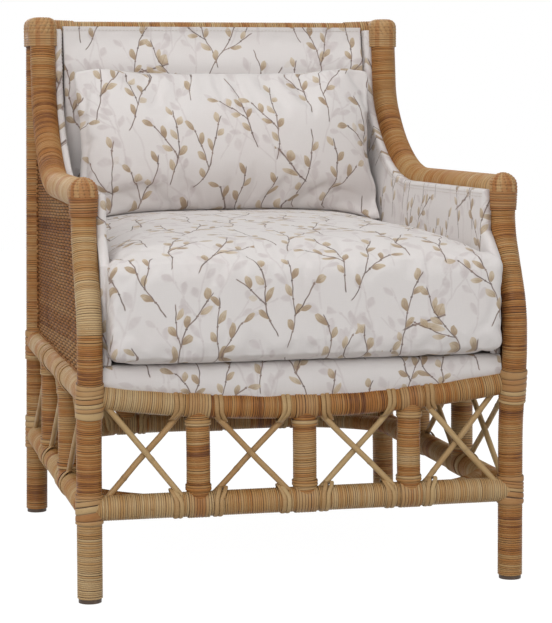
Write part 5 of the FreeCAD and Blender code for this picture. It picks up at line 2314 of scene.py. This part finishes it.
@dataclass(frozen=True)
class Stage:
    """Plain pale floor that keeps the chair's shadow, in white surroundings."""
    size: float = 14.0
    glow: float = 0.80
    lift: float = 0.17
    world_tint: Colour = (1.0, 0.99, 0.975)
    world_light: float = 0.30

    def build(self) -> None:
        """Make the floor and the surroundings."""
        mesh = bpy.data.meshes.new("floor")
        half = self.size / 2
        mesh.from_pydata([(-half, -half, 0.0), (half, -half, 0.0), (half, half, 0.0), (-half, half, 0.0)], [],
                         [(0, 1, 2, 3)])
        tree = Surface("pale_floor")
        tree.finish(Base_Color=(0.55, 0.55, 0.55), Roughness=0.9)
        seen = self.straight(tree)
        mix, both = tree.node("ShaderNodeMixShader"), tree.node("ShaderNodeAddShader")
        glow = tree.node("ShaderNodeEmission", Color=WHITE, Strength=1.0)
        rest = tree.node("ShaderNodeEmission", Color=WHITE, Strength=seen * self.lift)
        for socket, value in ((mix.inputs[0], seen * self.glow), (mix.inputs[1], tree.shader.outputs[0]),
                              (mix.inputs[2], glow.outputs[0]), (both.inputs[0], mix.outputs[0]),
                              (both.inputs[1], rest.outputs[0]), (tree.output.inputs["Surface"], both.outputs[0])):
            tree.put(socket, value)
        mesh.materials.append(tree.material)
        floor = put_in_scene("floor", mesh)
        self.surround()

    def straight(self, tree: NodeTree) -> Term:
        """Share of light rays that come straight, by gloss or through from the camera."""
        light = tree.node("ShaderNodeLightPath").outputs
        return tree.math("MAXIMUM", light["Is Glossy Ray"], light["Is Transmission Ray"]).most(light["Is Camera Ray"])

    def surround(self) -> None:
        """Make the world: white to the eye, and a dimmer light on the chair."""
        world = bpy.data.worlds.new("white_studio")
        tree = NodeTree(world, "ShaderNodeOutputWorld")
        dim = tree.node("ShaderNodeBackground", Color=self.world_tint, Strength=self.world_light)
        white = tree.node("ShaderNodeBackground", Color=WHITE, Strength=1.0)
        mixed = tree.node("ShaderNodeMixShader")
        for socket, value in ((mixed.inputs[0], self.straight(tree)), (mixed.inputs[1], dim.outputs[0]),
                              (mixed.inputs[2], white.outputs[0]), (tree.output.inputs["Surface"], mixed.outputs[0])):
            tree.put(socket, value)
        bpy.context.scene.world = world


@dataclass(frozen=True)
class Lamp:
    """One soft square lamp."""
    name: str
    place: tuple[float, float, float]
    aim: tuple[float, float, float]
    size: float
    power: float

    def build(self) -> None:
        """Hang the lamp and turn it to its aim."""
        light = bpy.data.lights.new(self.name, "AREA")
        light.size, light.energy = self.size, self.power
        lamp = put_in_scene(self.name, light)
        lamp.location = self.place
        lamp.rotation_euler = (Vector(self.aim) - Vector(self.place)).to_track_quat("-Z", "Y").to_euler()


LAMPS = (
    Lamp("key_lamp", (-1.5, -3.3, 2.2), (0.0, 0.0, 0.45), 2.2, 64.0),
    Lamp("fill_lamp", (2.6, -2.6, 1.4), (0.0, 0.0, 0.4), 2.2, 22.0),
    Lamp("top_lamp", (0.0, -0.3, 3.2), (0.0, 0.0, 0.4), 2.4, 26.0),
    Lamp("side_lamp", (-3.0, -0.6, 1.6), (0.0, 0.0, 0.45), 1.8, 18.0),
    Lamp("rear_lamp", (-0.6, 3.0, 2.0), (0.0, 0.0, 0.5), 2.0, 12.0),
)


@dataclass(frozen=True)
class ViewCamera:
    """Camera at the eye point, with its aim as turn, dip and roll."""
    place: tuple[float, float, float] = (-0.7309, -3.3008, 0.7323)
    yaw: float = math.radians(13.06)
    pitch: float = math.radians(5.81)
    roll: float = math.radians(-0.2)
    focal_pixels: float = 2061.0
    sensor: float = 36.0

    def build(self) -> None:
        """Make the camera and choose it for the scene."""
        camera = put_in_scene("view_camera", bpy.data.cameras.new("view_camera"))
        turn = Matrix.Rotation(-self.yaw, 4, "Z") @ Matrix.Rotation(math.pi / 2 - self.pitch, 4, "X")
        camera.matrix_world = Matrix.Translation(self.place) @ turn @ Matrix.Rotation(self.roll, 4, "Z")
        camera.data.sensor_width = self.sensor
        camera.data.lens = self.focal_pixels * self.sensor / max(PHOTO_SIZE)
        camera.data.clip_end = 60.0
        bpy.context.scene.camera = camera


def main() -> None:
    """Build the chair around the frame, then the stage, the lamps and the camera."""
    logging.basicConfig(level=logging.INFO, format="%(name)s: %(message)s")
    plan, wardrobe = Plan(), Wardrobe()
    bindings = Bindings(plan, wardrobe)
    ViewCamera().build()
    for assembly in (PoleFrame(plan, wardrobe), bindings, Apron(plan, wardrobe, bindings), Caps(plan, wardrobe),
                     WovenPanels(plan, wardrobe), Upholstery(plan, wardrobe), SeatCushion(plan, wardrobe),
                     LumbarPillow(plan, wardrobe), Understructure(plan, wardrobe)):
        assembly.build()
        log.info("%s done", type(assembly).__name__)
    Stage().build()
    for lamp in LAMPS:
        lamp.build()
    bpy.context.scene.view_settings.view_transform = "Standard"


if __name__ == "__main__":
    main()
